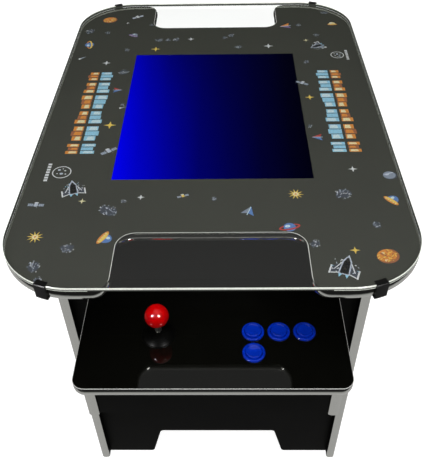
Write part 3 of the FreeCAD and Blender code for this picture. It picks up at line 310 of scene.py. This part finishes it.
def film(name):
    """Printed film seen through the glass: charcoal with a fine print grain."""
    p = Paint(name)
    grain = p.noise(3200.0, 2.0)
    clouds = p.noise(6.0, 3.0)
    tone = p.math("MULTIPLY", p.math("ADD", grain, clouds), 0.5)
    return p.done(p.principled({
        "Base Color": p.colours(tone, [(0.35, (0.0294, 0.031, 0.0232)), (0.65, (0.0356, 0.0371, 0.0278))]),
        "Roughness": p.spread(clouds, 0.75, 0.9), "Specular IOR Level": 0.05}))


def ink(name):
    """Printed colours: taken from the drawings' own colour layer, with a dotted print grain."""
    p = Paint(name)
    colour = p.add("VertexColor", layer_name="ink").outputs[0]
    dots = p.add("TexVoronoi", {"Vector": p.where, "Scale": 1400.0}).outputs[0]
    grain = p.spread(p.math("ADD", p.math("MULTIPLY", dots, 0.6), p.math("MULTIPLY", p.noise(600.0, 3.0), 0.4)),
                     0.0, 0.45, 0.25, 0.75)
    return p.done(p.principled({
        "Base Color": p.mix(grain, colour, (0.03, 0.031, 0.025)),
        "Roughness": p.spread(dots, 0.6, 0.8), "Specular IOR Level": 0.1}))


def picture(name):
    """Lit screen: blue that fades to near black across the width, under the panel's own pixel grid."""
    p = Paint(name)
    x, y, _ = p.add("SeparateXYZ", {0: p.where}).outputs
    across = p.spread(x, 0.0, 1.0, -WINDOW_HALF_X, WINDOW_HALF_X)
    away = p.spread(y, 0.0, 1.0, -WINDOW_HALF_Y, WINDOW_HALF_Y)

    def fade(levels):
        return p.colours(across, [(place, (0.0, 0.0, level)) for place, level in levels])
    near = fade([(0.0, 0.86), (0.11, 0.58), (0.27, 0.32), (0.43, 0.133), (0.59, 0.067), (0.75, 0.025),
                 (0.91, 0.008), (1.0, 0.004)])
    far = fade([(0.0, 0.42), (0.12, 0.25), (0.22, 0.15), (0.33, 0.097), (0.53, 0.045), (0.73, 0.021),
                (0.93, 0.006), (1.0, 0.004)])
    colour = p.add("Mix", {0: away, 6: near, 7: far}, data_type="RGBA").outputs[2]
    grid = p.add("TexBrick", {"Vector": p.where, "Color1": (1.0, 1.0, 1.0, 1.0), "Color2": (0.97, 0.97, 0.97, 1.0),
                              "Mortar": (0.8, 0.8, 0.8, 1.0), "Scale": 1.0, "Mortar Size": 0.00004,
                              "Brick Width": 0.00059, "Row Height": 0.00029}, offset=0.0).outputs[0]
    lit = p.add("Mix", {0: 1.0, 6: colour, 7: grid}, data_type="RGBA", blend_type="MULTIPLY").outputs[2]
    return p.done(p.principled({
        "Base Color": p.colours(p.noise(40.0), [(0.3, (0.0, 0.0, 0.0003)), (0.7, (0.0001, 0.0001, 0.0006))]),
        "Roughness": p.spread(p.noise(25.0), 0.3, 0.4), "Specular IOR Level": 0.01,
        "Emission Color": lit, "Emission Strength": 1.12}))


def circuit(name):
    """Green solder mask with pale tracks and a black tint on tall parts."""
    p = Paint(name)
    cells = p.add("TexVoronoi", {"Vector": p.where, "Scale": 260.0}, feature="DISTANCE_TO_EDGE").outputs[0]
    tracks = p.spread(cells, 1.0, 0.0, 0.03, 0.06)
    green = p.mix(tracks, (0.012, 0.10, 0.035), (0.05, 0.22, 0.09))
    height = p.add("SeparateXYZ", {0: p.where}).outputs[2]
    tall = p.math("GREATER_THAN", height, TALL_PARTS)
    return p.done(p.principled({
        "Base Color": p.mix(tall, green, (0.02, 0.02, 0.022)),
        "Roughness": p.spread(p.noise(300.0), 0.3, 0.5)}))


def stick_parts(name, x0, y0):
    """Steel shaft with the black plastic dust cap that turns with it."""
    p = Paint(name)
    x, y, z = p.add("SeparateXYZ", {0: p.where}).outputs
    u, v = p.math("SUBTRACT", x, x0), p.math("SUBTRACT", y, y0)
    off_axis = p.math("SQRT", p.math("ADD", p.math("MULTIPLY", u, u), p.math("MULTIPLY", v, v)))
    cap = p.math("MULTIPLY", p.math("GREATER_THAN", off_axis, SHAFT_REACH), p.math("GREATER_THAN", z, CAP_LOW))
    streaks = p.noise(1400.0, 3.0, 0.6, (1.0, 1.0, 0.04))
    steel = p.principled({
        "Base Color": p.colours(streaks, [(0.35, (0.20, 0.19, 0.18)), (0.65, (0.26, 0.25, 0.23))]),
        "Metallic": 1.0, "Roughness": p.spread(streaks, 0.25, 0.35)})
    clouds = p.noise(60.0, 3.0)
    plastic_cap = p.principled({
        "Base Color": p.colours(clouds, [(0.3, (0.0016, 0.0016, 0.0014)), (0.7, (0.0026, 0.0026, 0.0022))]),
        "Roughness": p.spread(clouds, 0.3, 0.38), "Specular IOR Level": 0.02})
    return p.done(p.add("MixShader", {0: cap, 1: steel, 2: plastic_cap}).outputs[0])


def braid(name):
    """Black braided sleeve: two crossing spirals of thread."""
    p = Paint(name)
    waves = []
    for turn in (0.8, -0.8):
        along = p.add("Mapping", {"Vector": p.where, "Rotation": (turn, 0.3, turn)}).outputs[0]
        waves.append(p.add("TexWave", {"Vector": along, "Scale": 260.0, "Distortion": 0.3}).outputs[1])
    weave = p.math("MAXIMUM", *waves)
    return p.done(p.principled({
        "Base Color": p.colours(weave, [(0.3, (0.004, 0.004, 0.004)), (0.9, (0.03, 0.03, 0.032))]),
        "Roughness": p.spread(weave, 0.5, 0.7), "Normal": p.bump(weave, 0.0003)}))


MATERIALS = {
    "black_board": laminate("vinyl_black", (0.0027, 0.0027, 0.0022), 0.42, 0.03),
    "bare_wood": wood("softwood"),
    "grey_edge": moulding("moulding_silver"),
    "black_acrylic": acrylic("acrylic_black"),
    "clear_glass": glass("glass_clear"),
    "printed_film": film("film_charcoal"),
    "screen": picture("picture_blue"),
    "black_plastic": plastic("moulded_black", (0.0035, 0.0035, 0.0032), 0.34, 0.00003, 2200.0, 0.14),
    "zinc_steel": metal("steel_zinc", (0.55, 0.56, 0.57), 0.34, 0.10),
    "dark_steel": metal("steel_dark", (0.10, 0.11, 0.11), 0.34, 0.06),
    "chrome_metal": metal("chrome", (0.75, 0.75, 0.77), 0.12, 0.04),
    "red_plastic": glossy("ball_red", (0.66, 0.0010, 0.0020), 0.035, 0.08),
    "blue_plastic": glossy("button_blue", (0.0010, 0.028, 0.46), 0.10, 0.2),
    "circuit": circuit("board_green"),
    "wire_cover": braid("sleeve_black"),
}

for part in frame["record"]["subparts"]:
    node = NODES[part["node"]]
    node.data.materials.clear()
    node.data.materials.append(MATERIALS[part["material_slot"]])
NODES["stick_near"].data.materials[0] = stick_parts("stick_near_parts", STICK_X, STICK_Y)
NODES["stick_far"].data.materials[0] = stick_parts("stick_far_parts", -STICK_X, -STICK_Y)
NODES["dust_covers"].data.materials[0] = plastic("cover_black", (0.0024, 0.0024, 0.0021), 0.34, 0.00001, 900.0, 0.02)
NODES["table_trim"].data.materials[0] = moulding("moulding_lipped", True)


# ---------------------------------------------------------------- printed film and its drawings

def lowered_film():
    """The film with its upper face drawn a little lower, to leave room for the ink under the glass."""
    source = NODES["art_film"]
    mesh = source.data.copy()
    for vertex in mesh.vertices:
        if vertex.co.z > FILM_TOP:
            vertex.co.z = FILM_TOP
    piece = bpy.data.objects.new("film_print", mesh)
    bpy.context.scene.collection.objects.link(piece)
    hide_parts("art_film")
    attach(piece, "lid")


lowered_film()

ENLARGE = 1.2               # drawn size of the small pictures
WHITE = (0.85, 0.86, 0.90)
PALE = (0.60, 0.66, 0.80)
GREY = (0.27, 0.32, 0.42)
DARK = (0.045, 0.055, 0.085)
YELLOW = (0.98, 0.68, 0.11)
CREAM = (0.95, 0.85, 0.50)
ORANGE = (0.86, 0.30, 0.03)
RUST = (0.42, 0.13, 0.04)
RED = (0.55, 0.04, 0.03)
BLUE = (0.10, 0.24, 0.62)
SKY = (0.33, 0.68, 0.92)
ICE = (0.70, 0.88, 0.96)
GREEN = (0.22, 0.50, 0.36)
PURPLE = (0.22, 0.16, 0.40)


class Print:
    """Flat ink shapes collected into one mesh; sizes and places are in millimetres on the film."""

    def __init__(self):
        self.mesh = bmesh.new()
        self.colour = self.mesh.faces.layers.int.new("shade")
        self.shades = []
        self.place(0, 0)

    def place(self, x, y, turn=0.0, size=1.0):
        """Sets where the next shapes go."""
        self.x, self.y, self.turn, self.size, self.level = x, y, math.radians(turn), size, 1
        return self

    def shape(self, points, colour):
        """One filled outline, on top of the shapes before it."""
        c, s = math.cos(self.turn) * self.size, math.sin(self.turn) * self.size
        z = FILM_TOP + INK_LIFT * self.level
        self.level = min(self.level + 1, 7)
        corners = [self.mesh.verts.new(((self.x + c * a - s * b) * MM, (self.y + s * a + c * b) * MM, z))
                   for a, b in points]
        face = self.mesh.faces.new(corners)
        face.normal_update()
        if face.normal.z < 0:
            face.normal_flip()
        if colour not in self.shades:
            self.shades.append(colour)
        face[self.colour] = self.shades.index(colour)

    def oval(self, x, y, rx, ry, colour, start=0.0, end=360.0, steps=28):
        """Filled ellipse, or the part of it between two angles."""
        whole = end - start >= 360
        points = []
        for i in range(steps + (0 if whole else 1)):
            a = math.radians(start + (end - start) * i / steps)
            points.append((x + rx * math.cos(a), y + ry * math.sin(a)))
        self.shape(points, colour)

    def ring(self, rx, ry, width, colour, start=0.0, end=360.0, steps=36):
        """Elliptical band of that width round the current place, drawn as short pieces in one layer."""
        level = self.level

        def spot(a, grow):
            return (rx + grow) * math.cos(a), (ry + grow) * math.sin(a)
        for i in range(steps):
            a, b = (math.radians(start + (end - start) * k / steps) for k in (i, i + 1))
            self.level = level
            self.shape([spot(a, -width / 2), spot(a, width / 2), spot(b, width / 2), spot(b, -width / 2)], colour)

    def bar(self, x0, y0, x1, y1, width, colour):
        """Straight stroke."""
        length = math.hypot(x1 - x0, y1 - y0)
        u, v = (x1 - x0) / length * width / 2, (y1 - y0) / length * width / 2
        self.shape([(x0 - v, y0 + u), (x1 - v, y1 + u), (x1 + v, y1 - u), (x0 + v, y0 - u)], colour)

    def star(self, radius, points, colour, depth):
        """Star with one point up; depth is the inner radius as a share of the outer one."""
        corners = []
        for i in range(2 * points):
            r = radius if i % 2 == 0 else radius * depth
            a = math.radians(90.0 + 180 * i / points)
            corners.append((r * math.cos(a), r * math.sin(a)))
        self.shape(corners, colour)

    def object(self, name):
        """The finished drawings as one piece with a colour layer."""
        data = bpy.data.meshes.new(name)
        index = [face[self.colour] for face in self.mesh.faces]
        self.mesh.faces.ensure_lookup_table()
        self.mesh.to_mesh(data)
        self.mesh.free()
        layer = data.color_attributes.new("ink", "FLOAT_COLOR", "CORNER")
        for polygon, shade_index in zip(data.polygons, index):
            for loop in polygon.loop_indices:
                layer.data[loop].color = (*self.shades[shade_index], 1.0)
        data.materials.append(ink("ink_colours"))
        piece = bpy.data.objects.new(name, data)
        bpy.context.scene.collection.objects.link(piece)
        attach(piece, "lid")


art = Print()
dice = random.Random(7)


def specks(count, reach, tones, grain):
    """Scatter of short strokes around the current place."""
    for i in range(count):
        art.level = 4 + i % 4
        a, r = dice.uniform(0, math.tau), reach * math.sqrt(dice.random())
        u, v = r * math.cos(a), 0.8 * r * math.sin(a)
        t, half = dice.uniform(0, math.pi), grain * dice.uniform(0.7, 1.6)
        art.bar(u - half * math.cos(t), v - half * math.sin(t), u + half * math.cos(t), v + half * math.sin(t),
                grain * dice.uniform(0.6, 1.0), dice.choice(tones))


def planet(x, y, radius, base, light, dark, bands):
    """Banded globe with a dark rim and a pale spot."""
    art.place(x, y, 20, ENLARGE)
    art.oval(0, 0, radius, radius * 0.92, dark)
    art.oval(-radius * 0.08, radius * 0.08, radius * 0.88, radius * 0.8, base)
    for i in range(bands):
        v = radius * (0.45 - 0.42 * i)
        half = math.sqrt(max(0.0, 0.72 * radius * radius - v * v))
        art.shape([(-half, v - radius * 0.07), (half, v - radius * 0.1), (half * 0.9, v + radius * 0.06),
                   (-half * 0.95, v + radius * 0.08)], dark if i % 2 else light)
    art.oval(-radius * 0.3, radius * 0.32, radius * 0.28, radius * 0.2, light)


def pebbled(x, y, radius):
    """Orange globe with a mottled face and a dark lower rim."""
    art.place(x, y, 20, ENLARGE)
    art.oval(0, 0, radius, radius * 0.85, RUST)
    art.oval(-radius * 0.06, radius * 0.1, radius * 0.88, radius * 0.72, ORANGE)
    specks(44, radius * 0.88, (YELLOW, RUST, YELLOW, RUST, CREAM), radius * 0.1)


def ringed(x, y, radius, globe, band, rim, turn=25):
    """Ringed planet: the back of the ring, the globe, then the front of the ring."""
    art.place(x, y, turn, ENLARGE)
    art.ring(radius * 1.65, radius * 0.5, radius * 0.3, rim, start=0, end=180)
    art.oval(0, 0, radius, radius, globe)
    art.oval(-radius * 0.25, radius * 0.3, radius * 0.45, radius * 0.3, ICE)
    art.ring(radius * 1.65, radius * 0.5, radius * 0.34, band, start=180, end=360)


def saucer(x, y, size, hull, trim, dome, turn=0):
    """Flying dish with a domed cabin and lamps along its rim."""
    art.place(x, y, turn, size * ENLARGE)
    art.oval(0, 3, 8.0, 10.5, dome, start=0, end=180)
    art.oval(-2.4, 7.6, 2.2, 3.0, ICE)
    art.oval(0, 1.5, 12, 4.0, trim)
    art.oval(0, 2.6, 10, 2.4, hull)
    for u in (-8, -4, 0, 4, 8):
        art.oval(u, 0.6, 0.9, 0.9, CREAM)


def satellite(x, y, size, turn, body=PALE, wing=GREY):
    """Box with two ribbed wings and a dish."""
    art.place(x, y, turn, size * ENLARGE)
    art.bar(-11, 0, 11, 0, 0.8, PALE)
    for side in (-1, 1):
        art.shape([(side * 4, -2.6), (side * 11.5, -2.6), (side * 11.5, 2.6), (side * 4, 2.6)], wing)
        for k in range(3):
            u = side * (5.6 + 2.4 * k)
            art.bar(u, -2.6, u, 2.6, 0.5, PALE)
    art.shape([(-2.6, -3.2), (2.6, -3.2), (2.6, 3.2), (-2.6, 3.2)], body)
    art.oval(0, 4.6, 3.0, 1.4, WHITE)
    art.bar(0, 3, 0, 6.5, 0.6, WHITE)
    specks(14, 8, (body, wing, WHITE, PALE), 0.5)


def lander(x, y, size, turn, hull=PALE, glow=GREEN, tip=WHITE):
    """Wedge-nosed craft with swept fins and lit windows."""
    art.place(x, y, turn, size * ENLARGE)
    for side in (-1, 1):
        art.shape([(side * 3, -8), (side * 13, -12), (side * 11, -3), (side * 5, 3)], DARK)
        art.bar(side * 12, -12, side * 12, -2, 1.5, tip)
        art.bar(side * 5, -9, side * 11, -11, 1.1, tip)
        art.bar(side * 4, 4, side * 9, -6, 0.9, tip)
    art.shape([(-5, -10), (5, -10), (4, 6), (0, 14), (-4, 6)], hull)
    art.shape([(-3.9, -9), (3.9, -9), (3, 5), (0, 11), (-3, 5)], DARK)
    art.shape([(-2.6, -7), (2.6, -7), (2, 2), (0, 5), (-2, 2)], glow)
    art.oval(0, 8, 1.6, 2.4, tip)
    art.oval(0, -3, 1.5, 1.5, WHITE)
    for side in (-1, 1):
        art.shape([(side * 1.2, -10), (side * 4.4, -10), (side * 3.4, -14)], SKY)
    specks(44, 13, (tip, PALE, DARK, SKY, tip), 0.75)


def dart(x, y, size, turn, left, right):
    """Folded dart in two colours."""
    art.place(x, y, turn, size * ENLARGE)
    art.shape([(-7, -5), (0, 8), (0, -3)], left)
    art.shape([(7, -5), (0, -3), (0, 8)], right)
    art.bar(0, -6, 0, 7, 0.8, ICE)


def rock(x, y, radius, tone=GREY, light=PALE):
    """Cratered lump with an uneven outline and broken highlights."""
    art.place(x, y, dice.uniform(0, 360), ENLARGE)
    corners = []
    for i in range(11):
        a = math.tau * i / 11
        r = radius * dice.uniform(0.66, 1.05)
        corners.append((r * math.cos(a), r * 0.8 * math.sin(a)))
    art.shape(corners, DARK)
    specks(14 + int(radius * 2.4), radius, (tone, light, WHITE, DARK, light), 0.25 * math.sqrt(radius))


def sun(x, y, radius):
    """Spiky sun with a pale heart."""
    art.place(x, y, 12, ENLARGE)
    art.star(radius * 1.15, 10, YELLOW, 0.34)
    art.oval(0, 0, radius * 0.40, radius * 0.40, CREAM)
    art.oval(0, 0, radius * 0.16, radius * 0.16, ORANGE)


def sparkle(x, y, radius, colour=WHITE):
    """Small four-pointed star with a bright heart."""
    art.place(x, y, 0, ENLARGE)
    art.star(radius, 4, colour, 0.28)
    art.oval(0, 0, radius * 0.34, radius * 0.34, colour, steps=12)


def comet(x, y, size, turn):
    """Bright head with a two-tone tail."""
    art.place(x, y, turn, size * ENLARGE)
    art.shape([(0, -2.0), (13, -0.4), (13, 0.6), (0, 2.0)], GREY)
    art.shape([(0, -1.1), (9, 0), (0, 1.2)], PALE)
    art.oval(0, 0, 2.4, 2.4, WHITE)


def moon_badge(x, y, size, turn):
    """Pale outline of a moon with craters, and a row of plain dashes beside it."""
    art.place(x, y, turn, size)
    art.ring(15, 15, 1.7, WHITE)
    for u, v, r in ((-5, 6, 2.6), (5, 4, 1.8), (0, -4, 3.0), (-7, -4, 1.4), (7, -5, 1.6), (1, 9, 1.2)):
        art.level = 2
        art.oval(u, v, r, r * 0.8, PALE if r > 2 else WHITE, steps=14)
    for i in range(7):
        art.level = 2
        v = -21 + 7 * i
        art.shape([(-26, v - 2.4), (-20, v - 2.4), (-20, v + 2.4), (-26, v + 2.4)], WHITE)


def block_column(side):
    """Stack of two-tone blocks down one side of the picture: sky blue towards the picture, orange outside."""
    heights = (28, 42, 38, 44, 36, 30)
    cuts = ((0.0, 0.35, 0.0), (0.45, 0.0, 0.3), (0.0, 0.4, 0.5), (0.5, 0.2, 0.0), (0.0, 0.45, 0.2), (0.3, 0.0, 0.4))
    y = -128.0
    for height, notches in zip(heights, cuts):
        for inner, tones in ((187.5, (ICE, SKY, SKY)), (214.0, (CREAM, ORANGE, RUST))):
            for k in range(3):
                v0 = y + height * k / 3 + 0.8
                v1 = y + height * (k + 1) / 3 - 0.8
                u0 = inner + (notches[k] * 8 if inner < 200 else 0)
                u1 = inner + 22 - (0 if inner < 200 else notches[k] * 8 + 3)
                art.place(0, 0)
                art.shape([(side * u0, v0), (side * u1, v0), (side * u1, v1), (side * u0, v1)],
                          tones[2] if k == 1 else tones[1])
                art.shape([(side * (u0 + 1.6), v0 + 1.4), (side * (u1 - 4.5), v0 + 1.4),
                           (side * (u1 - 6.0), v1 - 1.4), (side * (u0 + 2.6), v1 - 1.4)],
                          tones[1] if k == 1 else tones[0])
        y += height + 7.6


# left side of the table, from the far end to the near end
pebbled(-223, 349, 12.5)
satellite(-165, 362, 0.9, 30, WHITE, PALE)
sparkle(-184, 334, 3.5)
rock(-258, 296, 9)
rock(-220, 289, 5)
saucer(-167, 274, 0.75, PURPLE, PURPLE, GREY, -30)
rock(-132, 323, 4)
ringed(-250, 238, 7.5, BLUE, YELLOW, ORANGE, 100)
rock(-172, 214, 5)
rock(-112, 254, 7, GREY, PALE)
rock(-94, 255, 5)
sparkle(-48, 258, 6)
rock(-78, 257, 7, GREY, WHITE)
sparkle(-116, 217, 8, YELLOW)
comet(-260, 180, 0.9, 40)
sparkle(-206, 163, 7)
rock(-168, 128, 9)
dart(-174, 64, 1.0, -90, RED, BLUE)
comet(-161, 4, 0.7, 20)
rock(-158, 14, 4)
sparkle(-172, -48, 9, YELLOW)
satellite(-164, -121, 1.0, 35)
moon_badge(-229, -174, 0.92, 0)
lander(-205, -213, 1.15, 15)
sparkle(-187, -242, 5, CREAM)
satellite(-252, -250, 0.85, -4, PALE, GREY)
rock(-147, -263, 12)
sparkle(-103, -234, 5)
rock(-127, -243, 4)
satellite(-42, -232, 0.62, 20, YELLOW, GREY)
rock(3, -239, 4)
sun(-239, -316, 8.5)
rock(-191, -338, 9, GREY, PALE)
saucer(-148, -317, 0.92, YELLOW, ORANGE, BLUE, -118)
rock(-229, -372, 9)
rock(-219, -395, 5, GREY, PALE)

# right side
dart(147, 312, 1.4, 100, PURPLE, ORANGE)
rock(172, 316, 5)
rock(233, 374, 7)
saucer(243, 316, 0.7, YELLOW, ORANGE, CREAM)
sparkle(182, 248, 5, CREAM)
rock(205, 270, 6)
lander(201, 223, 0.95, 120, PALE, GREY, WHITE)
sparkle(106, 225, 8)
rock(33, 272, 6)
rock(47, 222, 6)
rock(20, 262, 5)
moon_badge(236, 186, 0.80, 180)
rock(174, 159, 5)
satellite(159, 82, 0.85, -30)
sparkle(168, 34, 7, YELLOW)
rock(159, -56, 4)
dart(169, -87, 1.05, 90, BLUE, RED)
sun(121, -229, 8.5)
dart(52, -266, 1.15, -20, GREY, BLUE)
ringed(107, -299, 7, BLUE, RED, RED, 15)
rock(189, -230, 12)
planet(265, -187, 9, GREY, PALE, DARK, 1)
sparkle(212, -171, 6)
saucer(254, -246, 0.88, YELLOW, ORANGE, BLUE, -48)
rock(226, -296, 6)
rock(138, -332, 7)
lander(173, -373, 1.25, -20, PALE, BLUE)
sparkle(189, -344, 6, YELLOW)
pebbled(230, -355, 12.5)
for side in (-1, 1):
    block_column(side)
art.object("film_drawings")


# ---------------------------------------------------------------- stage, light and camera

def stage_floor():
    """Large pale floor: evenly white to the camera; in what the table mirrors it is a painted pool of light, glowing
    near the table and dim further out.
    """
    data = bpy.data.meshes.new("floor")
    shape = bmesh.new()
    bmesh.ops.create_circle(shape, cap_ends=True, segments=64, radius=40.0)
    shape.to_mesh(data)
    shape.free()
    p = Paint("floor_pale")
    clouds = p.noise(0.8, 3.0)
    base = {"Base Color": p.colours(clouds, [(0.3, (0.35, 0.35, 0.35)), (0.7, (0.38, 0.38, 0.38))]),
            "Roughness": p.spread(clouds, 0.85, 0.95), "Specular IOR Level": 0.1}
    seen = p.principled({**base, "Emission Color": (1.0, 1.0, 1.0, 1.0), "Emission Strength": 0.93})
    x, y, _ = p.add("SeparateXYZ", {0: p.where}).outputs
    x = p.math("MULTIPLY", x, GLOW_WIDEN)
    reach = p.math("SQRT", p.math("ADD", p.math("MULTIPLY", x, x), p.math("MULTIPLY", y, y)))
    # Painted pool of light: emission that fades with distance from the table, seen only in reflections.
    pool = p.spread(reach, GLOW_NEAR, GLOW_FAR, GLOW_NEAR_REACH, GLOW_FAR_REACH)
    mirrored = p.add("Emission", {"Color": (1.0, 1.0, 1.0, 1.0), "Strength": pool}).outputs[0]
    seen_directly = p.add("LightPath").outputs["Is Camera Ray"]
    data.materials.append(p.done(p.add("MixShader", {0: seen_directly, 1: mirrored, 2: seen}).outputs[0]))
    floor = bpy.data.objects.new("floor", data)
    bpy.context.scene.collection.objects.link(floor)


def area_light(name, place, target, size, radiance, shape="DISK", mirrored=True):
    """Area light of that radiance, aimed at target; a mirrored one only makes highlights, any other only lights."""
    light = bpy.data.lights.new(name, "AREA")
    light.shape = shape
    light.size = size
    area = size * size * (math.pi / 4 if shape == "DISK" else 1.0)
    light.energy = math.pi * area * radiance
    lamp = bpy.data.objects.new(name, light)
    bpy.context.scene.collection.objects.link(lamp)
    lamp.location = place
    lamp.rotation_euler = (Vector(target) - Vector(place)).to_track_quat("-Z", "Y").to_euler()
    lamp.visible_glossy = mirrored
    lamp.visible_diffuse = not mirrored


def surroundings():
    """Dim room that brightens overhead, white where the camera looks past the floor."""
    world = bpy.data.worlds.new("room")
    bpy.context.scene.world = world
    world.use_nodes = True
    tree = world.node_tree
    tree.nodes.clear()
    where = tree.nodes.new("ShaderNodeTexCoord")
    split = tree.nodes.new("ShaderNodeSeparateXYZ")
    ramp = tree.nodes.new("ShaderNodeValToRGB")
    stops = [(0.0, 0.01), (0.36, 0.03), (0.52, 0.13), (0.64, 0.21), (0.75, 0.28), (0.86, 0.39), (1.0, 0.9)]
    while len(ramp.color_ramp.elements) < len(stops):
        ramp.color_ramp.elements.new(0.5)
    for element, (place, level) in zip(ramp.color_ramp.elements, stops):
        element.position = place
        element.color = (level, level, level, 1.0)
    path = tree.nodes.new("ShaderNodeLightPath")
    room = tree.nodes.new("ShaderNodeBackground")
    white = tree.nodes.new("ShaderNodeBackground")
    white.inputs[0].default_value = (1.0, 1.0, 1.0, 1.0)
    pick = tree.nodes.new("ShaderNodeMixShader")
    output = tree.nodes.new("ShaderNodeOutputWorld")
    for a, b in ((where.outputs["Generated"], split.inputs[0]), (split.outputs[2], ramp.inputs[0]),
                 (ramp.outputs[0], room.inputs[0]), (path.outputs["Is Camera Ray"], pick.inputs[0]),
                 (room.outputs[0], pick.inputs[1]), (white.outputs[0], pick.inputs[2]),
                 (pick.outputs[0], output.inputs[0])):
        tree.links.new(a, b)


def camera():
    """Camera at the seated player's eye, a little above and in front of the near edge."""
    yaw, pitch, roll = math.radians(-1.40), math.radians(43.27), math.radians(-1.26)
    forward = Vector((math.sin(yaw) * math.cos(pitch), math.cos(yaw) * math.cos(pitch), -math.sin(pitch)))
    level = Vector((math.cos(yaw), -math.sin(yaw), 0.0))
    upright = level.cross(forward)
    right = math.cos(roll) * level + math.sin(roll) * upright
    up = -math.sin(roll) * level + math.cos(roll) * upright
    data = bpy.data.cameras.new("camera")
    data.lens = 49.03
    data.sensor_width = 36.0
    eye = bpy.data.objects.new("camera", data)
    bpy.context.scene.collection.objects.link(eye)
    turn = Matrix((right, up, -forward)).transposed().to_4x4()
    eye.matrix_world = Matrix.Translation((0.0188, -0.9269, 1.3093)) @ turn
    bpy.context.scene.camera = eye


stage_floor()
surroundings()
area_light("overhead", (0.0, -0.9, 3.2), (0.0, -0.5, 0.0), 2.6, 2.15, "SQUARE", False)
area_light("fill_front", (0.0, -2.2, 1.6), (0.0, -0.4, 0.5), 1.2, 3.0, mirrored=False)
area_light("fill_back", (0.0, 2.2, 1.6), (0.0, 0.4, 0.5), 1.2, 2.5, mirrored=False)
area_light("lamp_left", (-1.526, -1.717, 2.285), STICK_BALL, LAMP_SIZE, LAMP_RADIANCE)
area_light("lamp_right", (1.068, -1.825, 2.419), STICK_BALL, LAMP_SIZE, LAMP_RADIANCE)
camera()
bpy.context.scene.view_settings.view_transform = "Standard"
